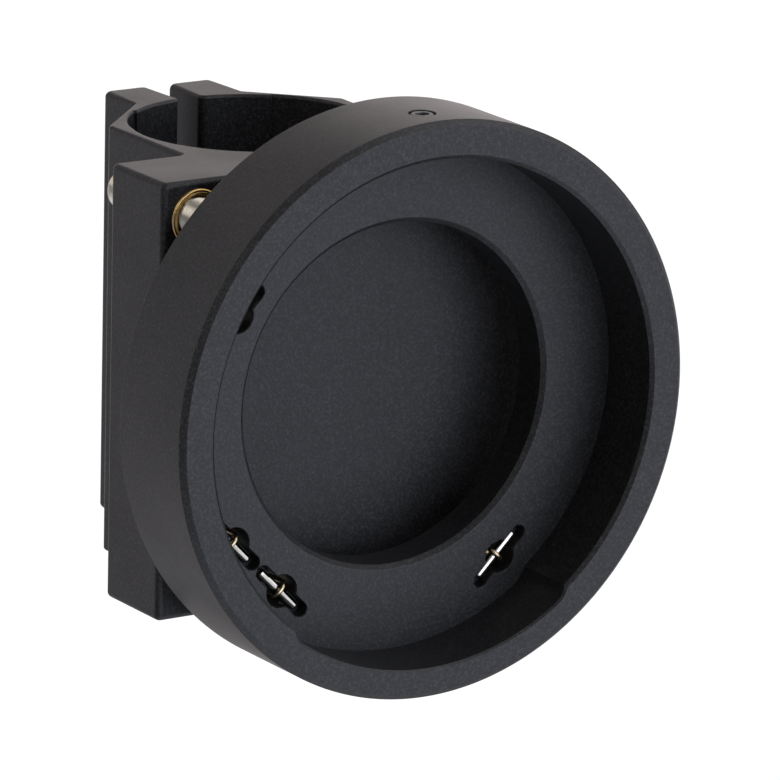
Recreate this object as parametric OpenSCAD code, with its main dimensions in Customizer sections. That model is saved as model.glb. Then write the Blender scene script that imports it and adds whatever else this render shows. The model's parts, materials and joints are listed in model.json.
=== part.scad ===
// Kinematic optic mount: a round cell for a three-inch optic, drawn by springs onto three ball contacts
// in front of a block that clamps on a thick post.
// Millimetres. +Z is up along the post, and the optic goes in from the -Y side.
// The origin is on the axis of the post bore, at the height of the optic's axis.

/* [Optic cell] */
// Diameter of the optic that the cell takes
optic_d = 76.2; // [72:0.1:90]
// Clearance on the optic's diameter
optic_clear = 0.2; // [0.1:0.05:0.6]
// Wall of the rim around the optic
rim_wall = 5.8; // [5:0.1:9]
// Depth of the seat from the rim's front face to the ledge
seat_depth = 11.5; // [10:0.1:16]
// Width of the ledge that the optic rests on
ledge_w = 11.95; // [10:0.05:15]
// Thickness of the ledge
ledge_t = 6.5; // [5.5:0.1:9]
// Bevel of the rim's outer front edge
rim_bevel = 0.85; // [0.2:0.05:1.5]
// Bevel of the seat's mouth
seat_bevel = 0.5; // [0.1:0.05:1]
// Bevel of the clear aperture's front edge
aperture_bevel = 0.73; // [0.2:0.01:1.5]
// Bevel of the rim's outer back edge
back_bevel = 0.5; // [0.1:0.05:1.5]

/* [Seat relief] */
// Depth of the relief at the bottom of the seat, which leaves the optic on two lines
relief_depth = 1.15; // [0.4:0.05:2]
// Half angle of the relief, from the lowest point of the seat
relief_half_angle = 34.5; // [20:0.5:36]
// Radius of the cutter that rounds the ends of the relief
relief_cutter_r = 3.5; // [2:0.1:5]

/* [Ball contacts] */
// Distance of the three contacts in from the rim's outer surface
contact_inset = 5.3; // [4:0.1:7]
// Gap between the cell and the plate
cell_gap = 6.2; // [5.4:0.1:8]
// Diameter of the contact balls
ball_d = 4.76; // [4:0.02:5]
// Clearance between a ball and its seat
ball_clear = 0.1; // [0.05:0.01:0.2]
// Clearance between a ball and the socket that carries it
socket_clear = 0.05; // [0.02:0.01:0.1]
// Depth of the flat pad below the cell's back face
pad_recess = 1; // [0.6:0.1:1.2]
// Diameter of the hard seats let into the cell's back face
seat_insert_d = 6.4; // [6:0.1:7]
// Depth of the pockets that hold the hard seats
seat_insert_t = 3.6; // [3:0.1:4.5]
// Distance from a ball's centre back to the face of the screw that carries it
ball_setback = 0.6; // [0.3:0.1:1]

/* [Adjusters] */
// Diameter of the fine-thread adjuster screws
screw_d = 6.35; // [6:0.05:7]
// Running clearance of an adjuster screw in its bushing, on the radius
screw_clear = 0.05; // [0.02:0.01:0.1]
// Length of screw that stands out behind the plate
screw_tail = 5.7; // [3:0.1:10]
// Travel of an adjuster screw each way
screw_travel = 2.3; // [1:0.1:3]
// Bevel of the screw's ends
screw_bevel = 0.4; // [0.1:0.05:0.6]
// Width across flats of the screw's hex socket
screw_hex = 2.4; // [1.5:0.1:3]
// Depth of the screw's hex socket
screw_hex_depth = 3.5; // [2:0.1:5]
// Wall of the threaded bushings
bushing_wall = 1.25; // [1:0.025:2]
// Height of a bushing's face in front of the plate
bushing_proud = 0.6; // [0.4:0.05:1]
// Bevel of the bushing's bore at the front
bushing_bevel = 0.5; // [0.1:0.05:0.7]
// Bevel of the bushing's outer edge at the front
bushing_edge = 0.35; // [0.1:0.05:0.4]
// Depth of the fixed pivot's stud in the plate
stud_depth = 11; // [8:0.5:12]

/* [Plate] */
// Thickness of the plate
plate_t = 15.3; // [14.5:0.1:20]
// Margin of the plate past the contact axes, at the sides
side_margin = 5.8; // [5.3:0.05:9]
// Margin of the plate past the contact axes, at the top and bottom
end_margin = 6.15; // [5.7:0.05:9]
// Distance of the block's middle below the optic's axis
block_drop = 0.48; // [0:0.02:0.8]
// Rounding of the plate's upright edges
plate_round = 1; // [0.2:0.1:2]

/* [Post clamp] */
// Diameter of the post that the clamp takes
post_d = 38.1; // [36:0.1:40]
// Clearance on the post's diameter
post_clear = 0.2; // [0.1:0.05:0.4]
// Metal between the post bore and the plate's front face
front_wall = 9.2; // [8.5:0.05:12]
// Wall beside the post bore
side_wall = 1.85; // [1.6:0.05:4]
// Wall at the flexing slant behind the bore
flex_wall = 1.6; // [1.2:0.1:3]
// Depth of the relief grooves that let the jaws flex, where they start
flex_groove = 0.4; // [0.2:0.1:0.6]
// Angle from the rear at which a relief groove starts, to run out along the bore
flex_from = 39; // [30:1:45]
// Width of the slot between the jaws
jaw_slot = 3.8; // [2:0.1:6]
// Thickness of each jaw
jaw_t = 7.8; // [6:0.1:10]
// Depth of the jaws behind the post bore
jaw_depth = 10.35; // [9.5:0.05:14]
// Rounding of the clamp's upright edges
jaw_round = 1.3; // [0.3:0.1:2]
// Rounding of the inside corners
inner_round = 0.5; // [0.2:0.1:1]
// Broken edge at the ends of the post bore
bore_break = 0.3; // [0.1:0.05:0.6]

/* [Clamp screws] */
// Diameter of the two clamp screws
clamp_screw_d = 5; // [4:0.1:5.5]
// Clearance of a clamp screw in its thread, on the radius
clamp_thread_clear = 0.05; // [0.02:0.01:0.1]
// Clearance of a clamp screw in the jaw under its head, on the radius
clamp_hole_clear = 0.2; // [0.1:0.05:0.4]
// Diameter of the screw's head
clamp_head_d = 8.5; // [7:0.1:9]
// Height of the screw's head
clamp_head_h = 5; // [3:0.1:6]
// Width across flats of the head's hex socket
clamp_hex = 4; // [2.5:0.1:5]
// Depth of the head's hex socket
clamp_hex_depth = 2.6; // [1.5:0.1:3]
// Distance of each clamp screw in from the end of the clamp
clamp_screw_inset = 16; // [8:0.5:24]
// Length of thread hidden below the face of the far jaw
clamp_tip_recess = 0.9; // [0.2:0.1:2]

/* [Springs] */
// Diameter of the hole that a spring runs through
spring_hole_d = 5.1; // [4.8:0.1:5.6]
// Outer diameter of the springs
spring_d = 4.2; // [3.6:0.1:4.4]
// Diameter of the spring wire
wire_d = 0.6; // [0.5:0.02:0.7]
// Rise of the spring in one turn
spring_lead = 1.45; // [1.2:0.05:2]
// Diameter of the pins that the springs hook on
pin_d = 1.5; // [1.2:0.05:1.7]
// Length of the pins that lie in the keyholes
pin_length = 8.9; // [7.5:0.1:9.5]
// Bevel of the pins' ends
pin_bevel = 0.3; // [0.1:0.05:0.5]
// Width of the keyhole slots
slot_w = 2.3; // [2:0.1:2.6]
// Distance between the round ends of a keyhole slot
slot_span = 9.3; // [9:0.1:10]
// Depth of the keyhole slots
slot_depth = 2.3; // [2.1:0.05:3]
// Radius of the hooks, at the middle of their wire
hook_r = 1.45; // [1.2:0.05:1.6]
// Play between a pin and the wire of its hook
hook_play = 0.04; // [0.02:0.01:0.1]
// Distance of the lower springs from the pivot and the side adjuster
spring_offset = 8; // [7.5:0.1:12]
// Distance of the springs outside the lines through the contacts
spring_shift = 0.4; // [0:0.05:0.8]
// Distance of the upper left spring below the top adjuster
upper_spring_offset = 12.05; // [9:0.05:18]
// Depth of the blind spring holes in the plate
blind_hole_depth = 13; // [11:0.5:14]
// Distance of a cross pin in front of the bottom of its blind hole
cross_pin_setback = 2.6; // [2:0.1:4]
// Length by which a cross pin passes the middle of its spring
cross_pin_pass = 3.6; // [3:0.1:5]
// Clearance of pressed pieces, on the radius
press_clear = 0.01; // [0.005:0.005:0.02]

/* [Optic set screw] */
// Diameter of the set screw that holds the optic
set_d = 4; // [3:0.1:4.5]
// Clearance of the set screw in its thread, on the radius
set_clear = 0.05; // [0.02:0.01:0.1]
// Distance of the set screw behind the rim's front face
set_inset = 6.3; // [5:0.1:8]
// Depth of the set screw's top below the rim
set_sink = 0.35; // [0.2:0.05:1]
// Length of the set screw
set_length = 3.6; // [3:0.1:3.8]
// Width across flats of its hex socket
set_hex = 2; // [1.3:0.1:2.2]
// Depth of its hex socket
set_hex_depth = 1.8; // [1:0.1:2.2]
// Diameter of the soft tip
tip_d = 2.6; // [2:0.1:2.8]
// Depth of the soft tip's end above the seat's wall
tip_sink = 0.1; // [0.05:0.05:0.3]
// Bevel at the mouth of the set screw's hole
set_bevel = 0.45; // [0.1:0.05:0.8]

/* [Hidden] */

$fn = 96;
// Overshoot of a cut past the face that it opens
cut = 1;
// Step from the ledge up to the floor of the seat's relief
relief_lift = 0.05;
// Facets of the relief's wall on each side of the lowest point
relief_steps = 24;

seat_r = (optic_d + optic_clear) / 2;
cell_r = seat_r + rim_wall;
aperture_r = seat_r - ledge_w;
relief_r = seat_r + relief_depth;
cell_t = seat_depth + ledge_t;
reach = (cell_r - contact_inset) / sqrt(2);

post_r = (post_d + post_clear) / 2;
plate_front = -(post_r + front_wall);
plate_rear = plate_front + plate_t;
plate_half_w = reach + side_margin;
half_h = reach + end_margin;
block_bottom = -half_h - block_drop;
cell_back = plate_front - cell_gap;
ledge_y = cell_back - ledge_t;
cell_front = cell_back - cell_t;

ball_r = ball_d / 2;
ball_y = cell_back - pad_recess + ball_r + ball_clear;
screw_r = screw_d / 2;
bushing_r = screw_r + screw_clear + bushing_wall;
screw_front = ball_y + ball_setback;
screw_rear = plate_rear + screw_tail;
// Distance from a ball's centre to the point of a right-angled cone or groove around it
point_depth = (ball_r + ball_clear) * sqrt(2);

wall_x = post_r + side_wall;
slant = (post_r + flex_wall) * sqrt(2);
// Shift and radius of the round cutter whose edge is deepest where a flexing groove starts
flex_shift = 5 * flex_groove;
flex_r = post_r + flex_groove - flex_shift;
// Angle that the cutter of a flexing groove spans, to well past the end of the groove
flex_span = 50;
jaw_x = jaw_slot / 2 + jaw_t;
jaw_rear = post_r + jaw_depth;
clamp_screw_y = (slant - jaw_x + jaw_rear) / 2;
upper_screw_z = half_h - clamp_screw_inset - block_drop;
lower_screw_z = clamp_screw_inset - half_h - block_drop;

pin_r = pin_d / 2;
pin_sink = slot_depth - pin_r;
wire_r = wire_d / 2;
coil_r = spring_d / 2 - wire_r;
// Distance from a pin's axis back to the middle of its hook
hook_back = hook_r - pin_r - wire_r - hook_play;
front_pin_y = ledge_y + pin_sink;
rear_pin_y = plate_rear - pin_sink;
blind_end = plate_front + blind_hole_depth;
cross_pin_y = blind_end - cross_pin_setback;

set_y = cell_front + set_inset;
set_hole_r = set_d / 2 + set_clear;
set_top = cell_r - set_sink;
set_bottom = set_top - set_length;

// Places of the contacts, as x and z
TOP = [-reach, reach];
SIDE = [reach, -reach];
PIVOT = [-reach, -reach];

// Places of the springs, as x and z, and the slant of each front pin
spring_line = -reach - spring_shift;
UPPER_LEFT = [spring_line, reach - upper_spring_offset, 45];
LEFT = [spring_line, spring_offset - reach, -45];
BOTTOM_LEFT = [spring_offset - reach, spring_line, -45];
BOTTOM_RIGHT = [reach - spring_offset, spring_line, 45];
THROUGH_SPRINGS = [UPPER_LEFT, LEFT];
BLIND_SPRINGS = [BOTTOM_LEFT, BOTTOM_RIGHT];
ALL_SPRINGS = concat(THROUGH_SPRINGS, BLIND_SPRINGS);
UPRIGHT = 90;

BLACK = [0.16, 0.16, 0.18];
STEEL = [0.72, 0.71, 0.68];
BRASS = [0.72, 0.53, 0.25];
DARK_STEEL = [0.09, 0.09, 0.1];
NYLON = [0.9, 0.89, 0.84];

// Stands local +Z along -Y from the plane at y, over the point p = [x, z]
module facing_front(y, p = [0, 0]) {
    translate([p[0], y, p[1]]) rotate([90, 0, 0]) children();
}

// Unit vector along v
function unit(v) = v / norm(v);

// Points of the arc of radius r that rounds the corner p between its neighbours a and b
function rounded_corner(a, p, b, r, steps = 6) =
    let (u = unit(a - p), v = unit(b - p), half = acos(u * v) / 2)
    let (centre = p + unit(u + v) * r / sin(half))
    let (from = p + u * r / tan(half) - centre, to = p + v * r / tan(half) - centre)
    let (start = atan2(from[1], from[0]), raw = atan2(to[1], to[0]) - start)
    let (sweep = raw > 180 ? raw - 360 : raw < -180 ? raw + 360 : raw)
    [for (k = [0:steps]) centre + r * [cos(start + sweep * k / steps), sin(start + sweep * k / steps)]];

// Outline through corners [x, y, rounding]
function rounded_outline(c) =
    let (n = len(c), p = [for (i = c) [i[0], i[1]]])
    [for (i = [0:n - 1]) each rounded_corner(p[(i + n - 1) % n], p[i], p[(i + 1) % n], c[i][2])];

// Half of the block's plan, at +x, from the plate's front to the open end of the jaw slot
half_plan = [
    [plate_half_w, plate_front, plate_round],
    [plate_half_w, plate_rear, plate_round],
    [wall_x, plate_rear, inner_round],
    [wall_x, slant - wall_x, jaw_round],
    [jaw_x, slant - jaw_x, inner_round],
    [jaw_x, jaw_rear, jaw_round],
    [jaw_slot / 2, jaw_rear, jaw_round],
    [jaw_slot / 2, 0, inner_round]
];

// Plan of the plate, the clamp's walls and both jaws
module block_plan() {
    far = len(half_plan) - 1;
    mirrored = [for (i = [far:-1:0]) [-half_plan[i][0], half_plan[i][1], half_plan[i][2]]];
    polygon(rounded_outline(concat(half_plan, mirrored)));
}

// Direction at the angle from the rear towards +X
function from_rear(angle) = [sin(angle), cos(angle)];

// Cutter of the flexing groove at +x: deepest at its first edge, and inside the bore at its last
module flex_cut(h) {
    far = 2 * post_r;
    intersection() {
        translate(flex_shift * from_rear(flex_from)) cylinder(r = flex_r, h = h, center = true);
        linear_extrude(height = 2 * h, center = true)
            polygon([[0, 0], far * from_rear(flex_from), far * from_rear(flex_from + flex_span)]);
    }
}

// Slot with round ends, lying across local X at the angle, from z = 0 up to h
module round_slot(span, w, h, angle) {
    rotate([0, 0, angle]) {
        translate([-span / 2, -w / 2, 0]) cube([span, w, h]);
        for (end = [-1, 1])
            translate([end * span / 2, 0, 0]) cylinder(d = w, h = h);
    }
}

// Bores of the post, the flexing grooves and the broken edges
module post_cuts() {
    cylinder(r = post_r, h = 2 * half_h + 2 * cut, center = true);
    for (side = [0, 1])
        mirror([side, 0, 0]) flex_cut(2 * half_h + 2 * cut);
    for (end = [0, 1])
        mirror([0, 0, end]) translate([0, 0, half_h - bore_break])
            cylinder(r1 = post_r, r2 = post_r + bore_break + cut, h = bore_break + cut);
}

// Holes across the jaws for one clamp screw: clear under the head and threaded in the far jaw
module clamp_screw_cuts(z) {
    translate([0, clamp_screw_y, z]) rotate([0, 90, 0]) {
        cylinder(r = clamp_screw_d / 2 + clamp_hole_clear, h = jaw_x + cut);
        translate([0, 0, -jaw_x - cut])
            cylinder(r = clamp_screw_d / 2 + clamp_thread_clear, h = jaw_x + cut);
    }
}

// Block with the plate, the post bore, the jaws and the holes of everything that it carries
module clamp_block() {
    color(BLACK) difference() {
        translate([0, 0, block_bottom]) linear_extrude(height = 2 * half_h) block_plan();
        translate([0, 0, -block_drop]) post_cuts();
        for (z = [upper_screw_z, lower_screw_z])
            clamp_screw_cuts(z);
        for (p = [TOP, SIDE])
            facing_front(screw_rear + screw_travel, p)
                cylinder(r = bushing_r + press_clear, h = screw_rear + screw_travel - plate_front + cut);
        facing_front(plate_front + stud_depth, PIVOT)
            cylinder(r = screw_r + press_clear, h = stud_depth + cut);
        for (s = THROUGH_SPRINGS)
            facing_front(plate_rear + cut, s) {
                cylinder(d = spring_hole_d, h = plate_t + 2 * cut);
                round_slot(slot_span, slot_w, slot_depth + cut, s[2]);
            }
        for (s = BLIND_SPRINGS) {
            facing_front(blind_end, s) cylinder(d = spring_hole_d, h = blind_hole_depth + cut);
            translate([s[0], cross_pin_y, block_bottom - cut])
                cylinder(r = pin_r + press_clear, h = s[1] + cross_pin_pass - block_bottom + cut);
        }
    }
}

// Turned body of the cell, with its back face at z = 0
module cell_body() {
    rotate_extrude() polygon([
        [aperture_r, 0],
        [cell_r - back_bevel, 0],
        [cell_r, back_bevel],
        [cell_r, cell_t - rim_bevel],
        [cell_r - rim_bevel, cell_t],
        [seat_r + seat_bevel, cell_t],
        [seat_r, cell_t - seat_bevel],
        [seat_r, ledge_t],
        [aperture_r + aperture_bevel, ledge_t],
        [aperture_r, ledge_t - aperture_bevel]
    ]);
}

// Direction outward at the angle a from the seat's lowest point, and the one along the rim
function outward(a) = [sin(a), -cos(a)];
function along_rim(a) = [cos(a), sin(a)];

// Point at the angle b on the round end of the relief, on one side
function relief_end(side, b) =
    let (a = side * relief_half_angle)
    (relief_r - relief_cutter_r) * outward(a)
        + relief_cutter_r * (cos(b) * outward(a) + side * sin(b) * along_rim(a));

// Relief along the bottom of the seat, with round ends, just above the ledge
module seat_relief() {
    wall = [for (k = [-relief_steps:relief_steps])
        relief_r * outward(relief_half_angle * k / relief_steps)];
    right = [for (b = [15:15:90]) relief_end(1, b)];
    left = [for (b = [90:-15:15]) relief_end(-1, b)];
    translate([0, 0, ledge_t + relief_lift])
        linear_extrude(height = seat_depth + cut) polygon(concat(wall, right, left));
}

// Cell: one turned ring with its ledge, relief, keyholes, seat pockets and set screw hole
module optic_cell() {
    color(BLACK) difference() {
        facing_front(cell_back) difference() {
            cell_body();
            seat_relief();
        }
        for (s = ALL_SPRINGS) {
            facing_front(cell_back + cut, s) cylinder(d = spring_hole_d, h = ledge_t + 2 * cut);
            facing_front(ledge_y + slot_depth, s) round_slot(slot_span, slot_w, slot_depth + cut, s[2]);
        }
        for (p = [TOP, SIDE, PIVOT])
            facing_front(cell_back + cut, p)
                cylinder(r = seat_insert_d / 2 + press_clear, h = seat_insert_t + cut);
        translate([0, set_y, seat_r - cut]) cylinder(r = set_hole_r, h = rim_wall + 2 * cut);
        translate([0, set_y, cell_r - set_bevel])
            cylinder(r1 = set_hole_r, r2 = set_hole_r + set_bevel + cut, h = set_bevel + cut);
    }
}

// Plug of a hard seat, with its outer face at z = 0 below the cell's back face by recess
module seat_plug(p, recess) {
    facing_front(cell_back - recess, p) cylinder(d = seat_insert_d, h = seat_insert_t - recess);
}

// Seat with a right-angled cone, which fixes the pivot's place
module cone_seat() {
    color(STEEL) difference() {
        seat_plug(PIVOT, 0);
        facing_front(ball_y, PIVOT) cylinder(r1 = point_depth, r2 = 0, h = point_depth);
    }
}

// Seat with a right-angled groove that points at the pivot
module groove_seat() {
    color(STEEL) difference() {
        seat_plug(TOP, 0);
        translate([TOP[0], ball_y, TOP[1]])
            linear_extrude(height = seat_insert_d + 2 * cut, center = true)
                polygon([[-point_depth, 0], [0, -point_depth], [point_depth, 0]]);
    }
}

// Flat seat, which leaves the side contact free to slide
module flat_pad() {
    color(STEEL) seat_plug(SIDE, pad_recess);
}

// Contact ball at the place p
module contact_ball(p) {
    color(STEEL) translate([p[0], ball_y, p[1]]) sphere(r = ball_r);
}

// Socket for a ball at the place p
module ball_socket(p) {
    translate([p[0], ball_y, p[1]]) sphere(r = ball_r + socket_clear);
}

module pivot_ball() { contact_ball(PIVOT); }
module top_ball() { contact_ball(TOP); }
module side_ball() { contact_ball(SIDE); }

// Round bar of radius r and length h along local Z, with a bevel at each end
module bevelled_bar(r, h, bevel) {
    rotate_extrude() polygon([[0, 0], [r - bevel, 0], [r, bevel], [r, h - bevel], [r - bevel, h], [0, h]]);
}

// Hex socket of the given width across flats, from z = 0 up to h
module hex_socket(flats, h) {
    cylinder(d = flats / cos(30), h = h, $fn = 6);
}

// Stud that carries the pivot ball, pressed in the plate
module pivot_stud() {
    stud_end = plate_front + stud_depth;
    color(STEEL) difference() {
        facing_front(stud_end, PIVOT) bevelled_bar(screw_r, stud_end - screw_front, screw_bevel);
        ball_socket(PIVOT);
    }
}

// Fine-thread screw with a ball socket in front and a hex socket behind
module adjuster_screw(p) {
    color(STEEL) difference() {
        facing_front(screw_rear, p) bevelled_bar(screw_r, screw_rear - screw_front, screw_bevel);
        ball_socket(p);
        facing_front(screw_rear + cut, p) hex_socket(screw_hex, screw_hex_depth + cut);
    }
}

module top_screw() { adjuster_screw(TOP); }
module side_screw() { adjuster_screw(SIDE); }

// Threaded bushing through the plate, with its outer edge and its bore bevelled in front
module bushing(p) {
    inner = screw_r + screw_clear;
    h = plate_t + bushing_proud;
    color(BRASS) facing_front(plate_rear, p) rotate_extrude()
        polygon([[inner, 0], [bushing_r, 0], [bushing_r, h - bushing_edge], [bushing_r - bushing_edge, h],
            [inner + bushing_bevel, h], [inner, h - bushing_bevel]]);
}

module top_bushing() { bushing(TOP); }
module side_bushing() { bushing(SIDE); }

// Pin across a keyhole, with its axis in the plane at y
module keyhole_pin(s, y) {
    color(STEEL) facing_front(y, s) rotate([0, 0, s[2]]) rotate([0, 90, 0])
        translate([0, 0, -pin_length / 2]) bevelled_bar(pin_r, pin_length, pin_bevel);
}

module upper_left_cell_pin() { keyhole_pin(UPPER_LEFT, front_pin_y); }
module left_cell_pin() { keyhole_pin(LEFT, front_pin_y); }
module bottom_left_cell_pin() { keyhole_pin(BOTTOM_LEFT, front_pin_y); }
module bottom_right_cell_pin() { keyhole_pin(BOTTOM_RIGHT, front_pin_y); }
module upper_left_plate_pin() { keyhole_pin(UPPER_LEFT, rear_pin_y); }
module left_plate_pin() { keyhole_pin(LEFT, rear_pin_y); }

// Upright pin pressed in from the plate's bottom, across a blind spring hole
module cross_pin(s) {
    color(STEEL) translate([s[0], cross_pin_y, block_bottom])
        cylinder(r = pin_r, h = s[1] + cross_pin_pass - block_bottom);
}

module bottom_left_plate_pin() { cross_pin(BOTTOM_LEFT); }
module bottom_right_plate_pin() { cross_pin(BOTTOM_RIGHT); }

// Radius of the bend from a hook's leg into the coil, length of the leg, and of the hook's free end
bend_r = 0.7;
leg = 0.8;
hook_end = 0.9;
wire_sides = 6;
turn_steps = 10;
lead_in = 70;

// Direction at the angle, across the spring
function across(angle) = [cos(angle), sin(angle), 0];
UP = [0, 0, 1];

// Hook around a pin at the origin, from its free end to the coil. The pin lies at right angles to the
// direction n, the coil starts off towards t, and the spring runs to +Z.
function hook_points(n, t) =
    let (low = UP * hook_back)
    concat(
        [for (k = [0:2]) low - hook_r * n + UP * hook_end * (1 - k / 2)],
        [for (a = [170:-15:10]) low + hook_r * (n * cos(a) - UP * sin(a))],
        [for (k = [0:1]) low + hook_r * n + UP * leg * k / 2],
        [for (b = [0:22.5:90])
            low + hook_r * n + UP * (leg + bend_r * sin(b)) + t * bend_r * (1 - cos(b))]);

// Path of a spring from a pin at the origin to a pin at the height h, lying at two angles
function spring_path(h, front_angle, rear_angle) =
    let (start_z = hook_back + leg + bend_r, start_r = norm([hook_r, bend_r]), skew = atan(bend_r / hook_r))
    let (turns = floor((h - 2 * start_z) / spring_lead))
    let (from = front_angle + 90 + skew, sweep = 360 * turns + rear_angle - front_angle - 2 * skew)
    let (steps = ceil(turn_steps * sweep / 360))
    let (front = hook_points(across(front_angle + 90), across(front_angle + 180)))
    let (rear = hook_points(across(rear_angle + 90), across(rear_angle)))
    concat(
        front,
        [for (k = [1:steps - 1])
            let (done = sweep * k / steps, near = min(done, sweep - done, lead_in) / lead_in)
            let (r = coil_r - (coil_r - start_r) * (1 - near) * (1 - near))
            r * across(from + done) + UP * (start_z + (h - 2 * start_z) * k / steps)],
        [for (i = [len(rear) - 1:-1:0]) [rear[i][0], rear[i][1], h - rear[i][2]]]);

// Part of v at right angles to t, as a unit vector
function square_to(v, t) = unit(v - (v * t) * t);

// Round wire along a path: rings of points carried along without twist
module wire_along(path) {
    n = len(path);
    along = [for (i = [0:n - 1]) unit(path[min(i + 1, n - 1)] - path[max(i - 1, 0)])];
    side = [for (i = 0, v = square_to([1, 1, 0], along[0]); i < n;
        i = i + 1, v = square_to(v, along[min(i, n - 1)])) v];
    rings = [for (i = [0:n - 1], k = [0:wire_sides - 1])
        let (a = 360 * k / wire_sides)
        path[i] + wire_r * (cos(a) * side[i] + sin(a) * cross(along[i], side[i]))];
    skin = [for (i = [0:n - 2], k = [0:wire_sides - 1])
        let (a = i * wire_sides + k, b = i * wire_sides + (k + 1) % wire_sides)
        each [[a, a + wire_sides, b + wire_sides], [a, b + wire_sides, b]]];
    first = [for (k = [0:wire_sides - 1]) k];
    last = [for (k = [wire_sides - 1:-1:0]) (n - 1) * wire_sides + k];
    polyhedron(points = rings, faces = concat([first, last], skin));
}

// Extension spring at the place s, from its front pin back to the pin in the plane rear_y
module spring(s, rear_y, rear_angle) {
    color(STEEL) facing_front(front_pin_y, s) mirror([0, 0, 1])
        wire_along(spring_path(rear_y - front_pin_y, s[2], rear_angle));
}

module upper_left_spring() { spring(UPPER_LEFT, rear_pin_y, UPPER_LEFT[2]); }
module left_spring() { spring(LEFT, rear_pin_y, LEFT[2]); }
module bottom_left_spring() { spring(BOTTOM_LEFT, cross_pin_y, UPRIGHT); }
module bottom_right_spring() { spring(BOTTOM_RIGHT, cross_pin_y, UPRIGHT); }

// Set screw in the top of the rim
module optic_set_screw() {
    color(DARK_STEEL) difference() {
        translate([0, set_y, set_bottom]) bevelled_bar(set_d / 2, set_length, set_d / 10);
        translate([0, set_y, set_top - set_hex_depth]) hex_socket(set_hex, set_hex_depth + cut);
    }
}

// Soft tip between the set screw and the optic
module optic_screw_tip() {
    tip_end = seat_r + tip_sink;
    color(NYLON) translate([0, set_y, tip_end]) bevelled_bar(tip_d / 2, set_bottom - tip_end, tip_d / 10);
}

// Socket head screw that draws the jaws together
module clamp_screw(z) {
    color(DARK_STEEL) translate([0, clamp_screw_y, z]) rotate([0, 90, 0]) difference() {
        union() {
            translate([0, 0, clamp_tip_recess - jaw_x])
                cylinder(d = clamp_screw_d, h = 2 * jaw_x - clamp_tip_recess);
            translate([0, 0, jaw_x]) bevelled_bar(clamp_head_d / 2, clamp_head_h, clamp_head_d / 20);
        }
        translate([0, 0, jaw_x + clamp_head_h - clamp_hex_depth])
            hex_socket(clamp_hex, clamp_hex_depth + cut);
    }
}

module upper_clamp_screw() { clamp_screw(upper_screw_z); }
module lower_clamp_screw() { clamp_screw(lower_screw_z); }

clamp_block();
optic_cell();
cone_seat();
groove_seat();
flat_pad();
pivot_ball();
pivot_stud();
top_bushing();
top_screw();
top_ball();
side_bushing();
side_screw();
side_ball();
upper_left_spring();
left_spring();
bottom_left_spring();
bottom_right_spring();
upper_left_cell_pin();
left_cell_pin();
bottom_left_cell_pin();
bottom_right_cell_pin();
upper_left_plate_pin();
left_plate_pin();
bottom_left_plate_pin();
bottom_right_plate_pin();
optic_set_screw();
optic_screw_tip();
upper_clamp_screw();
lower_clamp_screw();
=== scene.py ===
"""Looks of a kinematic optic mount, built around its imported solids.

A black round cell for a large optic stands on three ball contacts in front of a black block that clamps
on a post. The part's own axes: +Z up along the post, and the optic faces -Y. Sizes and places of the pieces
are in millimetres until their meshes are placed. The finishes and the studio are in metres.
"""

import json
import logging
import math
from dataclasses import dataclass
from enum import Enum

import bmesh
import bpy
from mathutils import Matrix, Vector


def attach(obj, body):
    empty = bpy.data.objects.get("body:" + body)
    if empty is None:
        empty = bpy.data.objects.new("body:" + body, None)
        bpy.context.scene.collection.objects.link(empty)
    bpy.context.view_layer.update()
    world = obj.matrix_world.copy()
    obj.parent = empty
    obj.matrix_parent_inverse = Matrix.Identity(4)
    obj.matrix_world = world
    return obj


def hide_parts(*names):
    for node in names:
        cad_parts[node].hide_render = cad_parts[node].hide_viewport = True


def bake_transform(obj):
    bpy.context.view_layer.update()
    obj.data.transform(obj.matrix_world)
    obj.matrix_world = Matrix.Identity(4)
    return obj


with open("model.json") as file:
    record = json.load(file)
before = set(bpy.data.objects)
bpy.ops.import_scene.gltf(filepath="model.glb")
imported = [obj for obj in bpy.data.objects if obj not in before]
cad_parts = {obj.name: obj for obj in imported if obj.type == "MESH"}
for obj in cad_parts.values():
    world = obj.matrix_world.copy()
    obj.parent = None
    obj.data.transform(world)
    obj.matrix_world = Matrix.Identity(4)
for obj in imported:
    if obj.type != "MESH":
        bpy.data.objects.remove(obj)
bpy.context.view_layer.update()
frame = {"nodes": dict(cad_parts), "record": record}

MM = 0.001
PICTURE_SIDE = 780
SMOOTH_ANGLE = math.radians(32)
QUARTER_TURN = math.radians(90)
MERGE_DISTANCE = 1e-7
FACE_AREA_WEIGHT = 100
UNIT = (0.0, 1.0)
log = logging.getLogger("optic_mount")

# Places and sizes that several pieces share, in millimetres. Two springs stand on a line at the left and two
# on a line at the bottom, which are both SPRING_LINE from the middle.
CONTACT_REACH = 27.365
SPRING_LINE = -27.765
SPRING_NEAR = 19.365
SPRING_UPPER = 15.315
SPRING_HOLE_R = 2.55
CELL_PIN_Y = -39.5
CROSS_PIN_Y = -17.95
PLATE_REAR = -13.05
JAW_X = 9.7
JAW_SCREW_Y = 24.5725
JAW_SCREW_HEIGHTS = (17.035, -17.995)
SET_SCREW_Y = -46.25

Point2 = tuple[float, float]
Point3 = tuple[float, float, float]
Colour = tuple[float, float, float]


class Slot(Enum):
    """Material slots of the record."""

    BLACK = "black_anodised"
    STEEL = "hard_steel"
    BRASS = "brass"
    WIRE = "spring_wire"
    OXIDE = "black_screw"
    NYLON = "nylon"


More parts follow.
